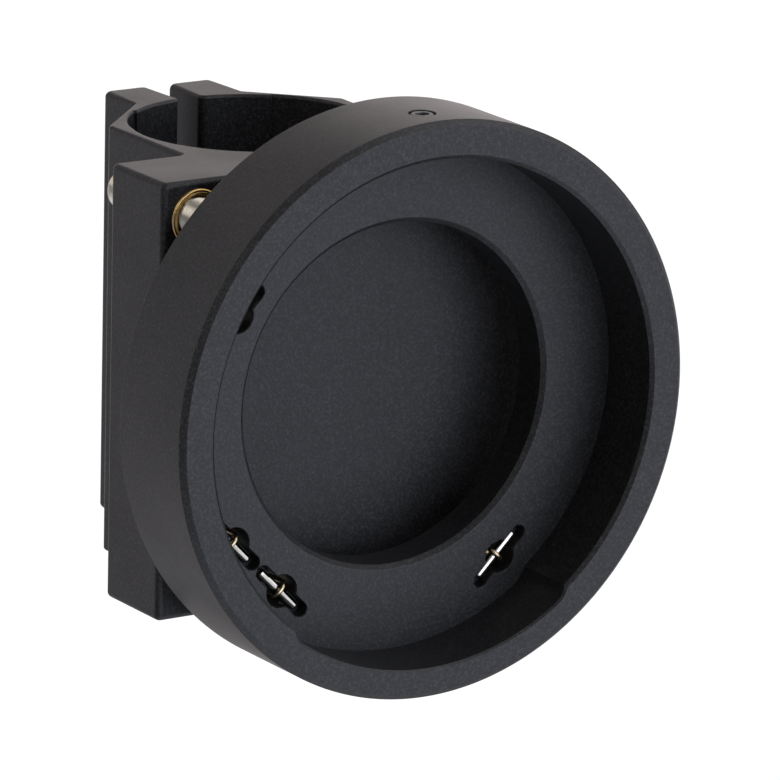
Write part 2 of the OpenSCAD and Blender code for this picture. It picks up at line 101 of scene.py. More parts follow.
class Look(Enum):
    """Looks of the pieces, each with the record's slot that it belongs to."""

    CELL_BLACK = ("black_anodised_cell", Slot.BLACK)
    BLOCK_BLACK = ("black_anodised_block", Slot.BLACK)
    TURNED_STEEL = ("turned_steel", Slot.STEEL)
    POLISHED_STEEL = ("polished_steel", Slot.STEEL)
    BRASS = ("turned_brass", Slot.BRASS)
    WIRE = ("drawn_wire", Slot.WIRE)
    OXIDE = ("black_oxide", Slot.OXIDE)
    NYLON = ("natural_nylon", Slot.NYLON)

    @property
    def title(self) -> str:
        """Name of the look's material."""
        return self.value[0]

    @property
    def slot(self) -> Slot:
        """The record's slot."""
        return self.value[1]

    @classmethod
    def of_solid(cls, slot: Slot) -> "Look":
        """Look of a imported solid, which is the last one of its slot.

        Args:
            slot: the record's slot.

        Returns:
            The look.
        """
        return [look for look in cls if look.slot is slot][-1]


class Place(Enum):
    """Corners of the cell that hold a contact, as x and z in units of the contacts' reach."""

    TOP = (-1, 1)
    SIDE = (1, -1)
    PIVOT = (-1, -1)

    @property
    def x(self) -> float:
        """Place from left to right, in millimetres."""
        return CONTACT_REACH * self.value[0]

    @property
    def z(self) -> float:
        """Height, in millimetres."""
        return CONTACT_REACH * self.value[1]


class SpringPlace(Enum):
    """Springs between cell and plate, each with its x, its z and the slant of its pin in the cell."""

    UPPER_LEFT = (SPRING_LINE, SPRING_UPPER, 45)
    LEFT = (SPRING_LINE, -SPRING_NEAR, -45)
    BOTTOM_LEFT = (-SPRING_NEAR, SPRING_LINE, -45)
    BOTTOM_RIGHT = (SPRING_NEAR, SPRING_LINE, 45)

    @property
    def through(self) -> bool:
        """Whether the spring passes through the plate, to a pin in its rear face."""
        return self in (SpringPlace.UPPER_LEFT, SpringPlace.LEFT)


def rgba(colour: Colour) -> tuple[float, float, float, float]:
    """Colour with full alpha."""
    return (*colour, 1.0)


def grey(value: float) -> tuple[float, float, float, float]:
    """Neutral colour with full alpha."""
    return (value, value, value, 1.0)


class Nodes:
    """Small helper that adds and links nodes in one node tree."""

    def __init__(self, tree: bpy.types.NodeTree) -> None:
        """Keeps the tree to work on.

        Args:
            tree: the node tree of a material, world or group.
        """
        self.tree = tree

    def add(self, kind: str, inputs: dict | None = None, **settings: object) -> bpy.types.Node:
        """Adds a node, sets its properties, and sets or links its inputs.

        Args:
            kind: the node's type name.
            inputs: socket name or number to a value, or to an output socket to link.
            settings: properties of the node.

        Returns:
            The new node.
        """
        node = self.tree.nodes.new(kind)
        for name, value in settings.items():
            setattr(node, name, value)
        for key, value in (inputs or {}).items():
            if isinstance(value, bpy.types.NodeSocket):
                self.tree.links.new(value, node.inputs[key])
            else:
                node.inputs[key].default_value = value
        return node

    def math(self, operation: str, *values: object) -> bpy.types.NodeSocket:
        """Adds a Math node.

        Args:
            operation: the node's operation.
            values: numbers or output sockets, in order.

        Returns:
            The node's output.
        """
        return self.add("ShaderNodeMath", dict(enumerate(values)), operation=operation).outputs[0]

    def noise(self, place: bpy.types.NodeSocket, scale: object, detail: float,
              roughness: float = 0.5) -> bpy.types.NodeSocket:
        """Adds a Noise Texture.

        Args:
            place: coordinates.
            scale: features per metre, as a number or an output socket.
            detail: octaves of finer noise.
            roughness: share of the finer octaves.

        Returns:
            The noise value's output, from 0 to 1.
        """
        inputs = {"Vector": place, "Scale": scale, "Detail": detail, "Roughness": roughness}
        return self.add("ShaderNodeTexNoise", inputs).outputs[0]

    def remap(self, value: bpy.types.NodeSocket, old: Point2, new: Point2,
              smooth: bool = False) -> bpy.types.NodeSocket:
        """Adds a Map Range node.

        Args:
            value: the value to map.
            old: lowest and highest value that come in.
            new: lowest and highest value that go out.
            smooth: ease in and out instead of a straight line.

        Returns:
            The mapped value's output.
        """
        inputs = {0: value, 1: old[0], 2: old[1], 3: new[0], 4: new[1]}
        kind = "SMOOTHSTEP" if smooth else "LINEAR"
        return self.add("ShaderNodeMapRange", inputs, interpolation_type=kind).outputs[0]

    def mix(self, factor: bpy.types.NodeSocket, first: object, second: object) -> bpy.types.NodeSocket:
        """Adds a colour mix.

        Args:
            factor: share of the second colour.
            first: colour or output socket at factor 0.
            second: colour or output socket at factor 1.

        Returns:
            The mixed colour's output.
        """
        node = self.add("ShaderNodeMix", {0: factor, 6: first, 7: second}, data_type="RGBA")
        return node.outputs[2]


class Effects:
    """Shader node groups that more than one finish uses, each built once."""

    NOISE_SPAN = (0.3, 0.7)
    COARSE_SCALE = 0.37
    FINE_SHARE = 0.65
    LINE_SPAN = (0.25, 0.75)
    TARNISH_SPAN = (0.35, 0.7)
    TARNISH_PER_METRE = 420.0

    @staticmethod
    def start(name: str, inputs: dict[str, float], outputs: tuple[str, ...]) -> tuple[
            bpy.types.NodeTree, Nodes, bpy.types.Node, bpy.types.Node]:
        """Opens a group with value inputs and value outputs.

        Args:
            name: the group's name.
            inputs: names and first values of the inputs.
            outputs: names of the outputs.

        Returns:
            The group, its node helper, its input node and its output node.
        """
        group = bpy.data.node_groups.new(name, "ShaderNodeTree")
        for key, value in inputs.items():
            socket = group.interface.new_socket(key, in_out="INPUT", socket_type="NodeSocketFloat")
            socket.default_value = value
        for key in outputs:
            group.interface.new_socket(key, in_out="OUTPUT", socket_type="NodeSocketFloat")
        nodes = Nodes(group)
        return group, nodes, nodes.add("NodeGroupInput"), nodes.add("NodeGroupOutput")

    @classmethod
    def grain(cls) -> bpy.types.NodeTree:
        """Fine dimples of a blasted, oxidised or moulded skin, with a slow cloudiness over them.

        Returns:
            A group with the outputs Height, Speckle and Cloud, each from 0 to 1.
        """
        inputs = {"Grain Scale": 3000.0, "Cloud Scale": 60.0}
        group, nodes, given, out = cls.start("Grain", inputs, ("Height", "Speckle", "Cloud"))
        place = nodes.add("ShaderNodeTexCoord").outputs["Object"]
        scale = given.outputs["Grain Scale"]
        fine = nodes.noise(place, scale, detail=2.0, roughness=0.6)
        coarse = nodes.noise(place, nodes.math("MULTIPLY", scale, cls.COARSE_SCALE), detail=2.0)
        cloud = nodes.noise(place, given.outputs["Cloud Scale"], detail=3.0)
        height = nodes.math("ADD", nodes.math("MULTIPLY", fine, cls.FINE_SHARE),
                            nodes.math("MULTIPLY", coarse, 1 - cls.FINE_SHARE))
        made = {"Height": height, "Speckle": nodes.remap(fine, cls.NOISE_SPAN, UNIT),
                "Cloud": nodes.remap(cloud, cls.NOISE_SPAN, UNIT)}
        for key, value in made.items():
            nodes.tree.links.new(value, out.inputs[key])
        return group

    @classmethod
    def scratches(cls) -> bpy.types.NodeTree:
        """Fine lines of a turned or drawn metal, which run across the Y axis.

        Returns:
            A group with the outputs Lines and Tarnish, each from 0 to 1.
        """
        inputs = {"Line Scale": 9000.0, "Stretch": 0.04}
        group, nodes, given, out = cls.start("Scratches", inputs, ("Lines", "Tarnish"))
        place = nodes.add("ShaderNodeTexCoord").outputs["Object"]
        stretch = given.outputs["Stretch"]
        across = nodes.add("ShaderNodeCombineXYZ", {0: stretch, 1: 1.0, 2: stretch}).outputs[0]
        drawn = nodes.add("ShaderNodeVectorMath", {0: place, 1: across}, operation="MULTIPLY")
        lines = nodes.noise(drawn.outputs[0], given.outputs["Line Scale"], detail=3.0, roughness=0.7)
        tarnish = nodes.noise(place, cls.TARNISH_PER_METRE, detail=3.0, roughness=0.6)
        made = {"Lines": nodes.remap(lines, cls.LINE_SPAN, UNIT),
                "Tarnish": nodes.remap(tarnish, cls.TARNISH_SPAN, UNIT)}
        for key, value in made.items():
            nodes.tree.links.new(value, out.inputs[key])
        return group


@dataclass(frozen=True)
class BlastedBlack:
    """Bead-blasted aluminium, anodised black: a dark skin with a broad soft sheen."""

    name: str
    dark: Colour = (0.0004, 0.0004, 0.0004)
    light: Colour = (0.022, 0.022, 0.0225)
    smooth: float = 0.41
    rough: float = 0.49
    ior: float = 1.4
    sparseness: float = 2.2
    grain_per_metre: float = 2600.0
    cloud_per_metre: float = 55.0
    bump: float = 0.55
    bump_height: float = 0.00004

    def material(self, grain: bpy.types.NodeTree) -> bpy.types.Material:
        """Builds the material.

        Args:
            grain: the Grain group.

        Returns:
            The finished material.
        """
        made, nodes, shader = new_material(self.name)
        inputs = {"Grain Scale": self.grain_per_metre, "Cloud Scale": self.cloud_per_metre}
        skin = nodes.add("ShaderNodeGroup", inputs, node_tree=grain)
        sparse = nodes.math("POWER", skin.outputs["Speckle"], self.sparseness)
        tone = nodes.mix(sparse, rgba(self.dark), rgba(self.light))
        uneven = nodes.remap(skin.outputs["Cloud"], UNIT, (self.smooth, self.rough))
        link_skin(nodes, shader, tone, uneven, skin.outputs["Height"], (self.bump, self.bump_height))
        shader.inputs["IOR"].default_value = self.ior
        return made


@dataclass(frozen=True)
class BareMetal:
    """Bare metal with fine machining lines and a little tarnish."""

    name: str
    bright: Colour
    dull: Colour
    smooth: float
    rough: float
    lines_per_metre: float = 9000.0
    stretch: float = 0.04
    bump: float = 0.1
    bump_height: float = 0.00001

    def material(self, scratches: bpy.types.NodeTree) -> bpy.types.Material:
        """Builds the material.

        Args:
            scratches: the Scratches group.

        Returns:
            The finished material.
        """
        made, nodes, shader = new_material(self.name)
        inputs = {"Line Scale": self.lines_per_metre, "Stretch": self.stretch}
        worn = nodes.add("ShaderNodeGroup", inputs, node_tree=scratches)
        tone = nodes.mix(worn.outputs["Tarnish"], rgba(self.bright), rgba(self.dull))
        uneven = nodes.remap(worn.outputs["Lines"], UNIT, (self.smooth, self.rough))
        link_skin(nodes, shader, tone, uneven, worn.outputs["Lines"], (self.bump, self.bump_height))
        shader.inputs["Metallic"].default_value = 1.0
        return made


@dataclass(frozen=True)
class GrainedSkin:
    """Non-metal skin with fine grain: black oxide on screws, or natural nylon."""

    name: str
    dark: Colour
    light: Colour
    smooth: float
    rough: float
    grain_per_metre: float
    ior: float = 1.5
    bump: float = 0.12
    bump_height: float = 0.00002

    def material(self, grain: bpy.types.NodeTree) -> bpy.types.Material:
        """Builds the material.

        Args:
            grain: the Grain group.

        Returns:
            The finished material.
        """
        made, nodes, shader = new_material(self.name)
        skin = nodes.add("ShaderNodeGroup", {"Grain Scale": self.grain_per_metre}, node_tree=grain)
        tone = nodes.mix(skin.outputs["Cloud"], rgba(self.dark), rgba(self.light))
        uneven = nodes.remap(skin.outputs["Speckle"], UNIT, (self.smooth, self.rough))
        link_skin(nodes, shader, tone, uneven, skin.outputs["Height"], (self.bump, self.bump_height))
        shader.inputs["IOR"].default_value = self.ior
        return made


def new_material(name: str) -> tuple[bpy.types.Material, Nodes, bpy.types.Node]:
    """Starts a material with one Principled BSDF.

    Args:
        name: the material's name.

    Returns:
        The material, its node helper and the shader node.
    """
    made = bpy.data.materials.new(name)
    made.use_nodes = True
    shader = made.node_tree.nodes["Principled BSDF"]
    return made, Nodes(made.node_tree), shader


def link_skin(nodes: Nodes, shader: bpy.types.Node, tone: bpy.types.NodeSocket, uneven: bpy.types.NodeSocket,
              height: bpy.types.NodeSocket, bump: Point2) -> None:
    """Links the colour, roughness and relief of a skin to its shader.

    Args:
        nodes: helper of the material's node tree.
        shader: the Principled BSDF.
        tone: the colour's output.
        uneven: the roughness's output.
        height: the relief's output, from 0 to 1.
        bump: strength of the relief, and its height in metres.
    """
    strength, distance = bump
    relief = nodes.add("ShaderNodeBump", {"Height": height, "Strength": strength, "Distance": distance})
    for key, value in (("Base Color", tone), ("Roughness", uneven), ("Normal", relief.outputs[0])):
        nodes.tree.links.new(value, shader.inputs[key])


class Finishes:
    """Every finish of the part, by its look."""

    def __init__(self) -> None:
        """Builds the shared effects, then the materials."""
        grain, scratches = Effects.grain(), Effects.scratches()
        self.by_look: dict[Look, bpy.types.Material] = {
            Look.CELL_BLACK: BlastedBlack(Look.CELL_BLACK.title).material(grain),
            Look.BLOCK_BLACK: BlastedBlack(Look.BLOCK_BLACK.title, ior=1.365).material(grain),
            Look.TURNED_STEEL: BareMetal(
                Look.TURNED_STEEL.title, bright=(0.72, 0.69, 0.60), dull=(0.50, 0.46, 0.37),
                smooth=0.26, rough=0.44, lines_per_metre=3600.0, bump=0.35).material(scratches),
            Look.POLISHED_STEEL: BareMetal(
                Look.POLISHED_STEEL.title, bright=(0.52, 0.50, 0.44), dull=(0.40, 0.37, 0.31),
                smooth=0.10, rough=0.18).material(scratches),
            Look.BRASS: BareMetal(
                Look.BRASS.title, bright=(0.56, 0.385, 0.16), dull=(0.37, 0.24, 0.09),
                smooth=0.20, rough=0.34).material(scratches),
            Look.WIRE: BareMetal(
                Look.WIRE.title, bright=(0.44, 0.36, 0.23), dull=(0.29, 0.23, 0.14),
                smooth=0.20, rough=0.32).material(scratches),
            Look.OXIDE: GrainedSkin(
                Look.OXIDE.title, dark=(0.008, 0.008, 0.008), light=(0.02, 0.0195, 0.019),
                smooth=0.42, rough=0.54, grain_per_metre=3500.0, ior=1.9).material(grain),
            Look.NYLON: GrainedSkin(
                Look.NYLON.title, dark=(0.74, 0.72, 0.65), light=(0.82, 0.80, 0.74),
                smooth=0.42, rough=0.55, grain_per_metre=1800.0).material(grain),
        }

    def dress(self, piece: bpy.types.Object, look: Look) -> None:
        """Gives a piece its look.

        Args:
            piece: a mesh object.
            look: the look.
        """
        piece.data.materials.clear()
        piece.data.materials.append(self.by_look[look])


def add_object(name: str, data: bpy.types.ID) -> bpy.types.Object:
    """Links a new object for a mesh, a lamp or a camera.

    Args:
        name: the object's name.
        data: its mesh, lamp or camera.

    Returns:
        The object.
    """
    made = bpy.data.objects.new(name, data)
    bpy.context.scene.collection.objects.link(made)
    return made


def mesh_from(name: str, verts: list[Vector], faces: list[list[int]]) -> bpy.types.Mesh:
    """Makes a clean mesh with outward normals and smooth shading up to a set angle.

    Args:
        name: the mesh's name.
        verts: points, in metres.
        faces: lists of point numbers.

    Returns:
        The mesh.
    """
    mesh = bpy.data.meshes.new(name)
    mesh.from_pydata([tuple(v) for v in verts], [], faces)
    shade(mesh)
    return mesh


def shade(mesh: bpy.types.Mesh) -> None:
    """Turns the faces outward, and shades them smooth except at sharp edges.

    Args:
        mesh: the mesh to finish.
    """
    work = bmesh.new()
    work.from_mesh(mesh)
    bmesh.ops.remove_doubles(work, verts=work.verts, dist=MERGE_DISTANCE)
    bmesh.ops.recalc_face_normals(work, faces=work.faces)
    work.to_mesh(mesh)
    work.free()
    mesh.polygons.foreach_set("use_smooth", [True] * len(mesh.polygons))
    mesh.set_sharp_from_angle(angle=SMOOTH_ANGLE)
    mesh.update()


def direction(rightward: float, upward: float) -> Vector:
    """Direction at angles in degrees, to the right of the front and up from level."""
    a, e = math.radians(rightward), math.radians(upward)
    return Vector((math.sin(a) * math.cos(e), -math.cos(a) * math.cos(e), math.sin(e)))


def quarter_arc(steps: int) -> list[float]:
    """Angles in radians from 0 to a quarter turn, in even steps."""
    return [math.pi / 2 * k / steps for k in range(steps + 1)]


def facing_up(x: float, y: float, z: float) -> Matrix:
    """Placing of a piece whose local +Z stays up, with its origin at the point in millimetres."""
    return Matrix.Translation(Vector((x, y, z)) * MM)


def facing_front(x: float, y: float, z: float) -> Matrix:
    """Placing of a piece whose local +Z points along -Y, with its origin at the point in millimetres."""
    return facing_up(x, y, z) @ Matrix.Rotation(QUARTER_TURN, 4, "X")


def facing_right(x: float, y: float, z: float) -> Matrix:
    """Placing of a piece whose local +Z points along +X, with its origin at the point in millimetres."""
    return facing_up(x, y, z) @ Matrix.Rotation(QUARTER_TURN, 4, "Y")


def carve(name: str, body: bpy.types.Mesh, cutters: list[bpy.types.Mesh]) -> bpy.types.Object:
    """Cuts holes in a body, and shades the result evenly.

    Args:
        name: name of the new object.
        body: closed mesh to cut.
        cutters: closed meshes of the holes.

    Returns:
        The cut object.
    """
    made = add_object(name, body)
    tools = [add_object("cutter", mesh) for mesh in cutters]
    for tool in tools:
        cut = made.modifiers.new("cut", "BOOLEAN")
        cut.operation = "DIFFERENCE"
        cut.solver = "EXACT"
        cut.object = tool
    bpy.context.view_layer.update()
    view = bpy.context.evaluated_depsgraph_get()
    cut_mesh = bpy.data.meshes.new_from_object(made.evaluated_get(view))
    made.modifiers.clear()
    made.data = cut_mesh
    for tool in tools:
        bpy.data.objects.remove(tool)
    shade(cut_mesh)
    even = made.modifiers.new("even_shading", "WEIGHTED_NORMAL")
    even.weight = FACE_AREA_WEIGHT
    even.keep_sharp = True
    return made


def prism(name: str, rows: list[list[Vector]], place: Matrix) -> bpy.types.Mesh:
    """Joins level outlines of equal length into one closed body.

    Args:
        name: the mesh's name.
        rows: outlines in order, in millimetres.
        place: where the body goes, in metres.

    Returns:
        The mesh.
    """
    n = len(rows[0])
    verts = [place @ (v * MM) for row in rows for v in row]
    faces = [list(range(n)), list(range(len(verts) - n, len(verts)))]
    for i in range(len(rows) - 1):
        low, high = i * n, (i + 1) * n
        for k in range(n):
            j = (k + 1) % n
            faces.append([low + k, low + j, high + j, high + k])
    return mesh_from(name, verts, faces)


def settle(piece: bpy.types.Object, finishes: Finishes, look: Look, node: str,
           body: str) -> bpy.types.Object:
    """Dresses a piece, and puts it in place of a solid.

    Args:
        piece: the new piece.
        finishes: the part's finishes.
        look: the piece's look.
        node: the solid that it replaces.
        body: the body that it rides.

    Returns:
        The piece.
    """
    finishes.dress(piece, look)
    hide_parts(node)
    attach(piece, body)
    return piece


class Turning:
    """Closed bodies made of rings of points around local Z, in millimetres until they are placed."""

    RIDGE_POWER = 0.7

    def __init__(self, segments: int) -> None:
        """Starts with no ring.

        Args:
            segments: points in each ring.
        """
        self.segments = segments
        self.rings: list[list[Vector]] = []

    def angle(self, k: int) -> float:
        """Angle of point k of a ring."""
        return 2 * math.pi * k / self.segments

    def point(self, r: float, k: int, z: float) -> Vector:
        """Point k of a ring at height z, at a distance r from the axis."""
        return Vector((r * math.cos(self.angle(k)), r * math.sin(self.angle(k)), z))

    def ring(self, r: float, z: float) -> "Turning":
        """Adds a round ring, or a point on the axis where r is 0.

        Args:
            r: radius.
            z: height.

        Returns:
            The turning itself.
        """
        count = 1 if r == 0 else self.segments
        self.rings.append([self.point(r, k, z) for k in range(count)])
        return self

    def hexagon(self, flats: float, z: float) -> "Turning":
        """Adds a hexagonal ring of the given width across flats.

        Args:
            flats: width across flats.
            z: height.

        Returns:
            The turning itself.
        """
        sixth = math.pi / 3
        points = []
        for k in range(self.segments):
            r = flats / 2 / math.cos((self.angle(k) % sixth) - sixth / 2)
            points.append(self.point(r, k, z))
        self.rings.append(points)
        return self

    def ridged(self, r: float, depth: float, ridges: int, z: float) -> "Turning":
        """Adds a ring with straight ridges, for a knurl.

        Args:
            r: radius over the ridges.
            depth: depth of the grooves.
            ridges: how many ridges.
            z: height.

        Returns:
            The turning itself.
        """
        points = []
        for k in range(self.segments):
            low = depth * abs(math.sin(ridges * self.angle(k) / 2)) ** self.RIDGE_POWER
            points.append(self.point(r - low, k, z))
        self.rings.append(points)
        return self

    def thread(self, r: float, pitch: float, depth: float, z_from: float, z_to: float,
               rows: int) -> "Turning":
        """Adds the rings of a right-hand thread, from one height up to another.

        Args:
            r: radius over the crests.
            pitch: rise in one turn.
            depth: depth of the grooves.
            z_from: height of the first ring.
            z_to: height of the last ring.
            rows: rings in each turn.

        Returns:
            The turning itself.
        """
        count = max(2, round((z_to - z_from) / pitch * rows))
        for i in range(count + 1):
            z = z_from + (z_to - z_from) * i / count
            fade = min(1.0, i / rows, (count - i) / rows)
            points = []
            for k in range(self.segments):
                phase = (z / pitch - k / self.segments) % 1.0
                low = depth * fade * abs(2 * phase - 1)
                points.append(self.point(r - low, k, z))
            self.rings.append(points)
        return self

    def mesh(self, name: str, place: Matrix) -> bpy.types.Mesh:
        """Joins the rings into one closed mesh.

        Args:
            name: the mesh's name.
            place: where the body goes, in metres.

        Returns:
            The mesh.
        """
        verts: list[Vector] = []
        starts: list[int] = []
        for ring in self.rings:
            starts.append(len(verts))
            verts += [place @ (v * MM) for v in ring]
        faces: list[list[int]] = []
        n = self.segments
        for (a, first), (b, second) in zip(zip(starts, self.rings), zip(starts[1:], self.rings[1:])):
            for k in range(n):
                j = (k + 1) % n
                if len(first) == 1:
                    faces.append([a, b + j, b + k])
                elif len(second) == 1:
                    faces.append([a + k, a + j, b])
                else:
                    faces.append([a + k, a + j, b + j, b + k])
        return mesh_from(name, verts, faces)


class Drill:
    """Cutters of round holes along local Z, which stand out of the metal at each open end."""

    OVER = 1.0
    SEGMENTS = 64

    @classmethod
    def plain(cls, r: float, length: float) -> Turning:
        """Straight cutter from z = 0 up to its length."""
        return Turning(cls.SEGMENTS).ring(0, 0).ring(r, 0).ring(r, length).ring(0, length)

    @classmethod
    def flared(cls, r: float, bottom: float, top: float, mouth_break: float) -> Turning:
        """Cutter of a hole that opens at the top, with a broken edge there.

        Args:
            r: radius of the hole.
            bottom: height of its flat end.
            top: height of its mouth.
            mouth_break: width of the broken edge.

        Returns:
            The rings of the cutter.
        """
        wide, end = r + mouth_break + cls.OVER, top + cls.OVER
        turned = Turning(cls.SEGMENTS).ring(0, bottom).ring(r, bottom).ring(r, top - mouth_break)
        return turned.ring(wide, end).ring(0, end)

    @classmethod
    def through(cls, r: float, depth: float, mouth_break: float, segments: int = SEGMENTS) -> Turning:
        """Cutter of a hole from z = 0 up to its depth, with both edges broken.

        Args:
            r: radius of the hole.
            depth: depth of the metal.
            mouth_break: width of the broken edges.
            segments: points in each ring.

        Returns:
            The rings of the cutter.
        """
        wide, end = r + mouth_break + cls.OVER, depth + cls.OVER
        turned = Turning(segments).ring(0, -cls.OVER).ring(wide, -cls.OVER).ring(r, mouth_break)
        return turned.ring(r, depth - mouth_break).ring(wide, end).ring(0, end)


@dataclass
class KeyholeSlot:
    """Slot with round ends that a spring's pin lies in."""

    span: float = 9.3
    width: float = 2.3
    depth: float = 2.3
    mouth_break: float = 0.14
    over: float = Drill.OVER
    end_steps: int = 16

    def outline(self, extra: float, height: float) -> list[Vector]:
        """Outline of the slot at one height, made wider all round.

        Args:
            extra: how much wider.
            height: local height.

        Returns:
            The points in order.
        """
        points, r = [], self.width / 2 + extra
        for side in (1, -1):
            for k in range(self.end_steps + 1):
                a = math.pi * (k / self.end_steps - 0.5) + (0 if side == 1 else math.pi)
                points.append(Vector((side * self.span / 2 + r * math.cos(a), r * math.sin(a), height)))
        return points

    def cutter(self, place: Matrix, slant: float) -> bpy.types.Mesh:
        """Cutter from the mouth at local z = 0 down to the slot's depth.

        Args:
            place: placing whose local +Z points into the metal.
            slant: turn of the slot around local Z, in degrees.

        Returns:
            A closed mesh.
        """
        rows = [self.outline(self.mouth_break + self.over, -self.over), self.outline(0, self.mouth_break),
                self.outline(0, self.depth)]
        return prism("slot", rows, place @ Matrix.Rotation(math.radians(slant), 4, "Z"))


@dataclass
class Outline:
    """Closed outline through corners, each with its own rounding, in millimetres."""

    corner_steps: int = 7

    # Lowest divisor in inset_ways, which keeps the move of a sharp corner short
    SHARPEST = 0.35

    def corner(self, before: Vector, point: Vector, after: Vector, r: float) -> list[Vector]:
        """Points of the arc that rounds one corner.

        Args:
            before: the corner before.
            point: the corner to round.
            after: the corner after.
            r: radius of the arc.

        Returns:
            The arc's points in order.
        """
        u, v = (before - point).normalized(), (after - point).normalized()
        half = u.angle(v) / 2
        centre = point + (u + v).normalized() * r / math.sin(half)
        start, end = point + u * r / math.tan(half) - centre, point + v * r / math.tan(half) - centre
        from_angle = math.atan2(start.y, start.x)
        sweep = (math.atan2(end.y, end.x) - from_angle + math.pi) % (2 * math.pi) - math.pi
        turns = [from_angle + sweep * k / self.corner_steps for k in range(self.corner_steps + 1)]
        return [centre + r * Vector((math.cos(a), math.sin(a))) for a in turns]

    @staticmethod
    def inset_ways(points: list[Vector]) -> list[Vector]:
        """Way in which each point moves when the outline shrinks by one.

        Args:
            points: a counter-clockwise outline.

        Returns:
            One vector for each point.
        """
        ways = []
        for i, p in enumerate(points):
            a, b = (p - points[i - 1]).normalized(), (points[(i + 1) % len(points)] - p).normalized()
            n, m = Vector((-a.y, a.x)), Vector((-b.y, b.x))
            ways.append((n + m) / max(Outline.SHARPEST, 1 + n.dot(m)))
        return ways


@dataclass
class ClampBlock:
    """Block with the plate, the post bore and the split jaws."""

    plate_half_w: float = 33.165
    plate_front: float = -28.35
    plate_rear: float = PLATE_REAR
    half_h: float = 33.515
    drop: float = 0.48
    plate_round: float = 1.0
    wall_x: float = 21.0
    slant: float = 29.345
    jaw_x: float = JAW_X
    jaw_rear: float = 29.5
    jaw_round: float = 1.3
    inner_round: float = 0.5
    slot_half: float = 1.9
    bore_r: float = 19.15
    groove_depth: float = 0.4
    groove_shift: float = 2.0
    groove_from: float = 39.0
    groove_to: float = 75.8
    bore_corner: float = 1.2
    edge_round: float = 0.9
    thin_round: float = 0.5
    bore_edge: float = 0.5
    edge_steps: int = 6
    bore_step: float = 2.5
    bushing_r: float = 4.485
    stud_r: float = 3.185
    stud_depth: float = 11.0
    spring_r: float = SPRING_HOLE_R
    blind_depth: float = 13.0
    mouth_break: float = 0.22
    clear_r: float = 2.7
    thread_r: float = 2.55
    screw_y: float = JAW_SCREW_Y
    screw_heights: Point2 = JAW_SCREW_HEIGHTS
    cross_pin_y: float = CROSS_PIN_Y
    cross_pin_r: float = 0.76
    cross_pin_top: float = -24.165

    def plan(self) -> tuple[list[Vector], list[float]]:
        """Outline of the block as seen from above, once round the outside and the bore.

        Returns:
            The points, and the rounding of the level edge at each point.
        """
        half = [(self.plate_half_w, self.plate_front, self.plate_round, self.edge_round),
                (self.plate_half_w, self.plate_rear, self.plate_round, self.edge_round),
                (self.wall_x, self.plate_rear, self.inner_round, self.edge_round),
                (self.wall_x, self.slant - self.wall_x, self.jaw_round, self.thin_round),
                (self.jaw_x, self.slant - self.jaw_x, self.inner_round, self.thin_round),
                (self.jaw_x, self.jaw_rear, self.jaw_round, self.edge_round),
                (self.slot_half, self.jaw_rear, self.jaw_round, self.edge_round)]
        corners = [Vector(c[:2]) for c in half]
        first, last = Vector((-self.plate_half_w, self.plate_front)), Vector((self.slot_half, 0.0))
        ring = [first, *corners, last]
        right: list[Vector] = []
        edges: list[float] = []
        for i, (_, _, turn_r, edge) in enumerate(half):
            right += Outline().corner(ring[i], ring[i + 1], ring[i + 2], turn_r)
            edges += [edge] * (len(right) - len(edges))
        lean = math.asin(self.slot_half / self.bore_r)
        mouth = Vector((self.slot_half, self.bore_r * math.cos(lean)))
        along = mouth + Vector((math.cos(lean), -math.sin(lean)))
        turn = Outline().corner(corners[-1], mouth, along, self.bore_corner)
        bore = turn + self.bore_points() + [Vector((-p.x, p.y)) for p in reversed(turn)]
        left = [Vector((-p.x, p.y)) for p in reversed(right)]
        return right + bore + left, edges + [self.bore_edge] * len(bore) + edges[::-1]

    def groove_radius(self, angle: float) -> float:
        """Radius in the flexing groove, which starts at groove_from and runs out along the bore.

        Args:
            angle: degrees from the rear.

        Returns:
            The distance from the bore's axis.
        """
        cutter = self.bore_r + self.groove_depth - self.groove_shift
        turn = math.radians(angle - self.groove_from)
        return (self.groove_shift * math.cos(turn)
                + math.sqrt(cutter ** 2 - (self.groove_shift * math.sin(turn)) ** 2))

    def bore_arc(self, low: float, high: float, grooved: bool) -> list[Vector]:
        """Points of the bore between two angles from the rear.

        Args:
            low: the first angle, in degrees.
            high: the last angle, in degrees.
            grooved: whether this stretch lies in the flexing groove.

        Returns:
            The points in order.
        """
        count = max(2, round((high - low) / self.bore_step))
        points = []
        for k in range(count + 1):
            angle = low + (high - low) * k / count
            r = self.groove_radius(angle) if grooved else self.bore_r
            a = math.radians(angle)
            points.append(Vector((r * math.sin(a), r * math.cos(a))))
        return points

    def bore_points(self) -> list[Vector]:
        """Points round the post bore, from the slot's right side to its left side.

        Returns:
            The points in order, with the flexing grooves.
        """
        start = math.degrees(2 * math.asin((self.slot_half + self.bore_corner) / 2 / self.bore_r))
        half = self.bore_arc(start, self.groove_from, False)
        half += self.bore_arc(self.groove_from, self.groove_to, True)
        half += self.bore_arc(self.groove_to, 180, False)[1:]
        return half + [Vector((-p.x, p.y)) for p in reversed(half[:-1])]

    def body(self) -> bpy.types.Mesh:
        """Upright body with rounded level edges, before the holes.

        Returns:
            A closed mesh.
        """
        points, rounding = self.plan()
        ways = Outline.inset_ways(points)
        arc = quarter_arc(self.edge_steps)
        rows = [(-1, turn) for turn in reversed(arc)] + [(1, turn) for turn in arc]
        levels = []
        for end, turn in rows:
            level = []
            for p, way, r in zip(points, ways, rounding):
                flat = p + way * r * (1 - math.cos(turn))
                z = end * (self.half_h - r + r * math.sin(turn)) - self.drop
                level.append(Vector((flat.x, flat.y, z)))
            levels.append(level)
        return prism("clamp_block_body", levels, Matrix.Identity(4))

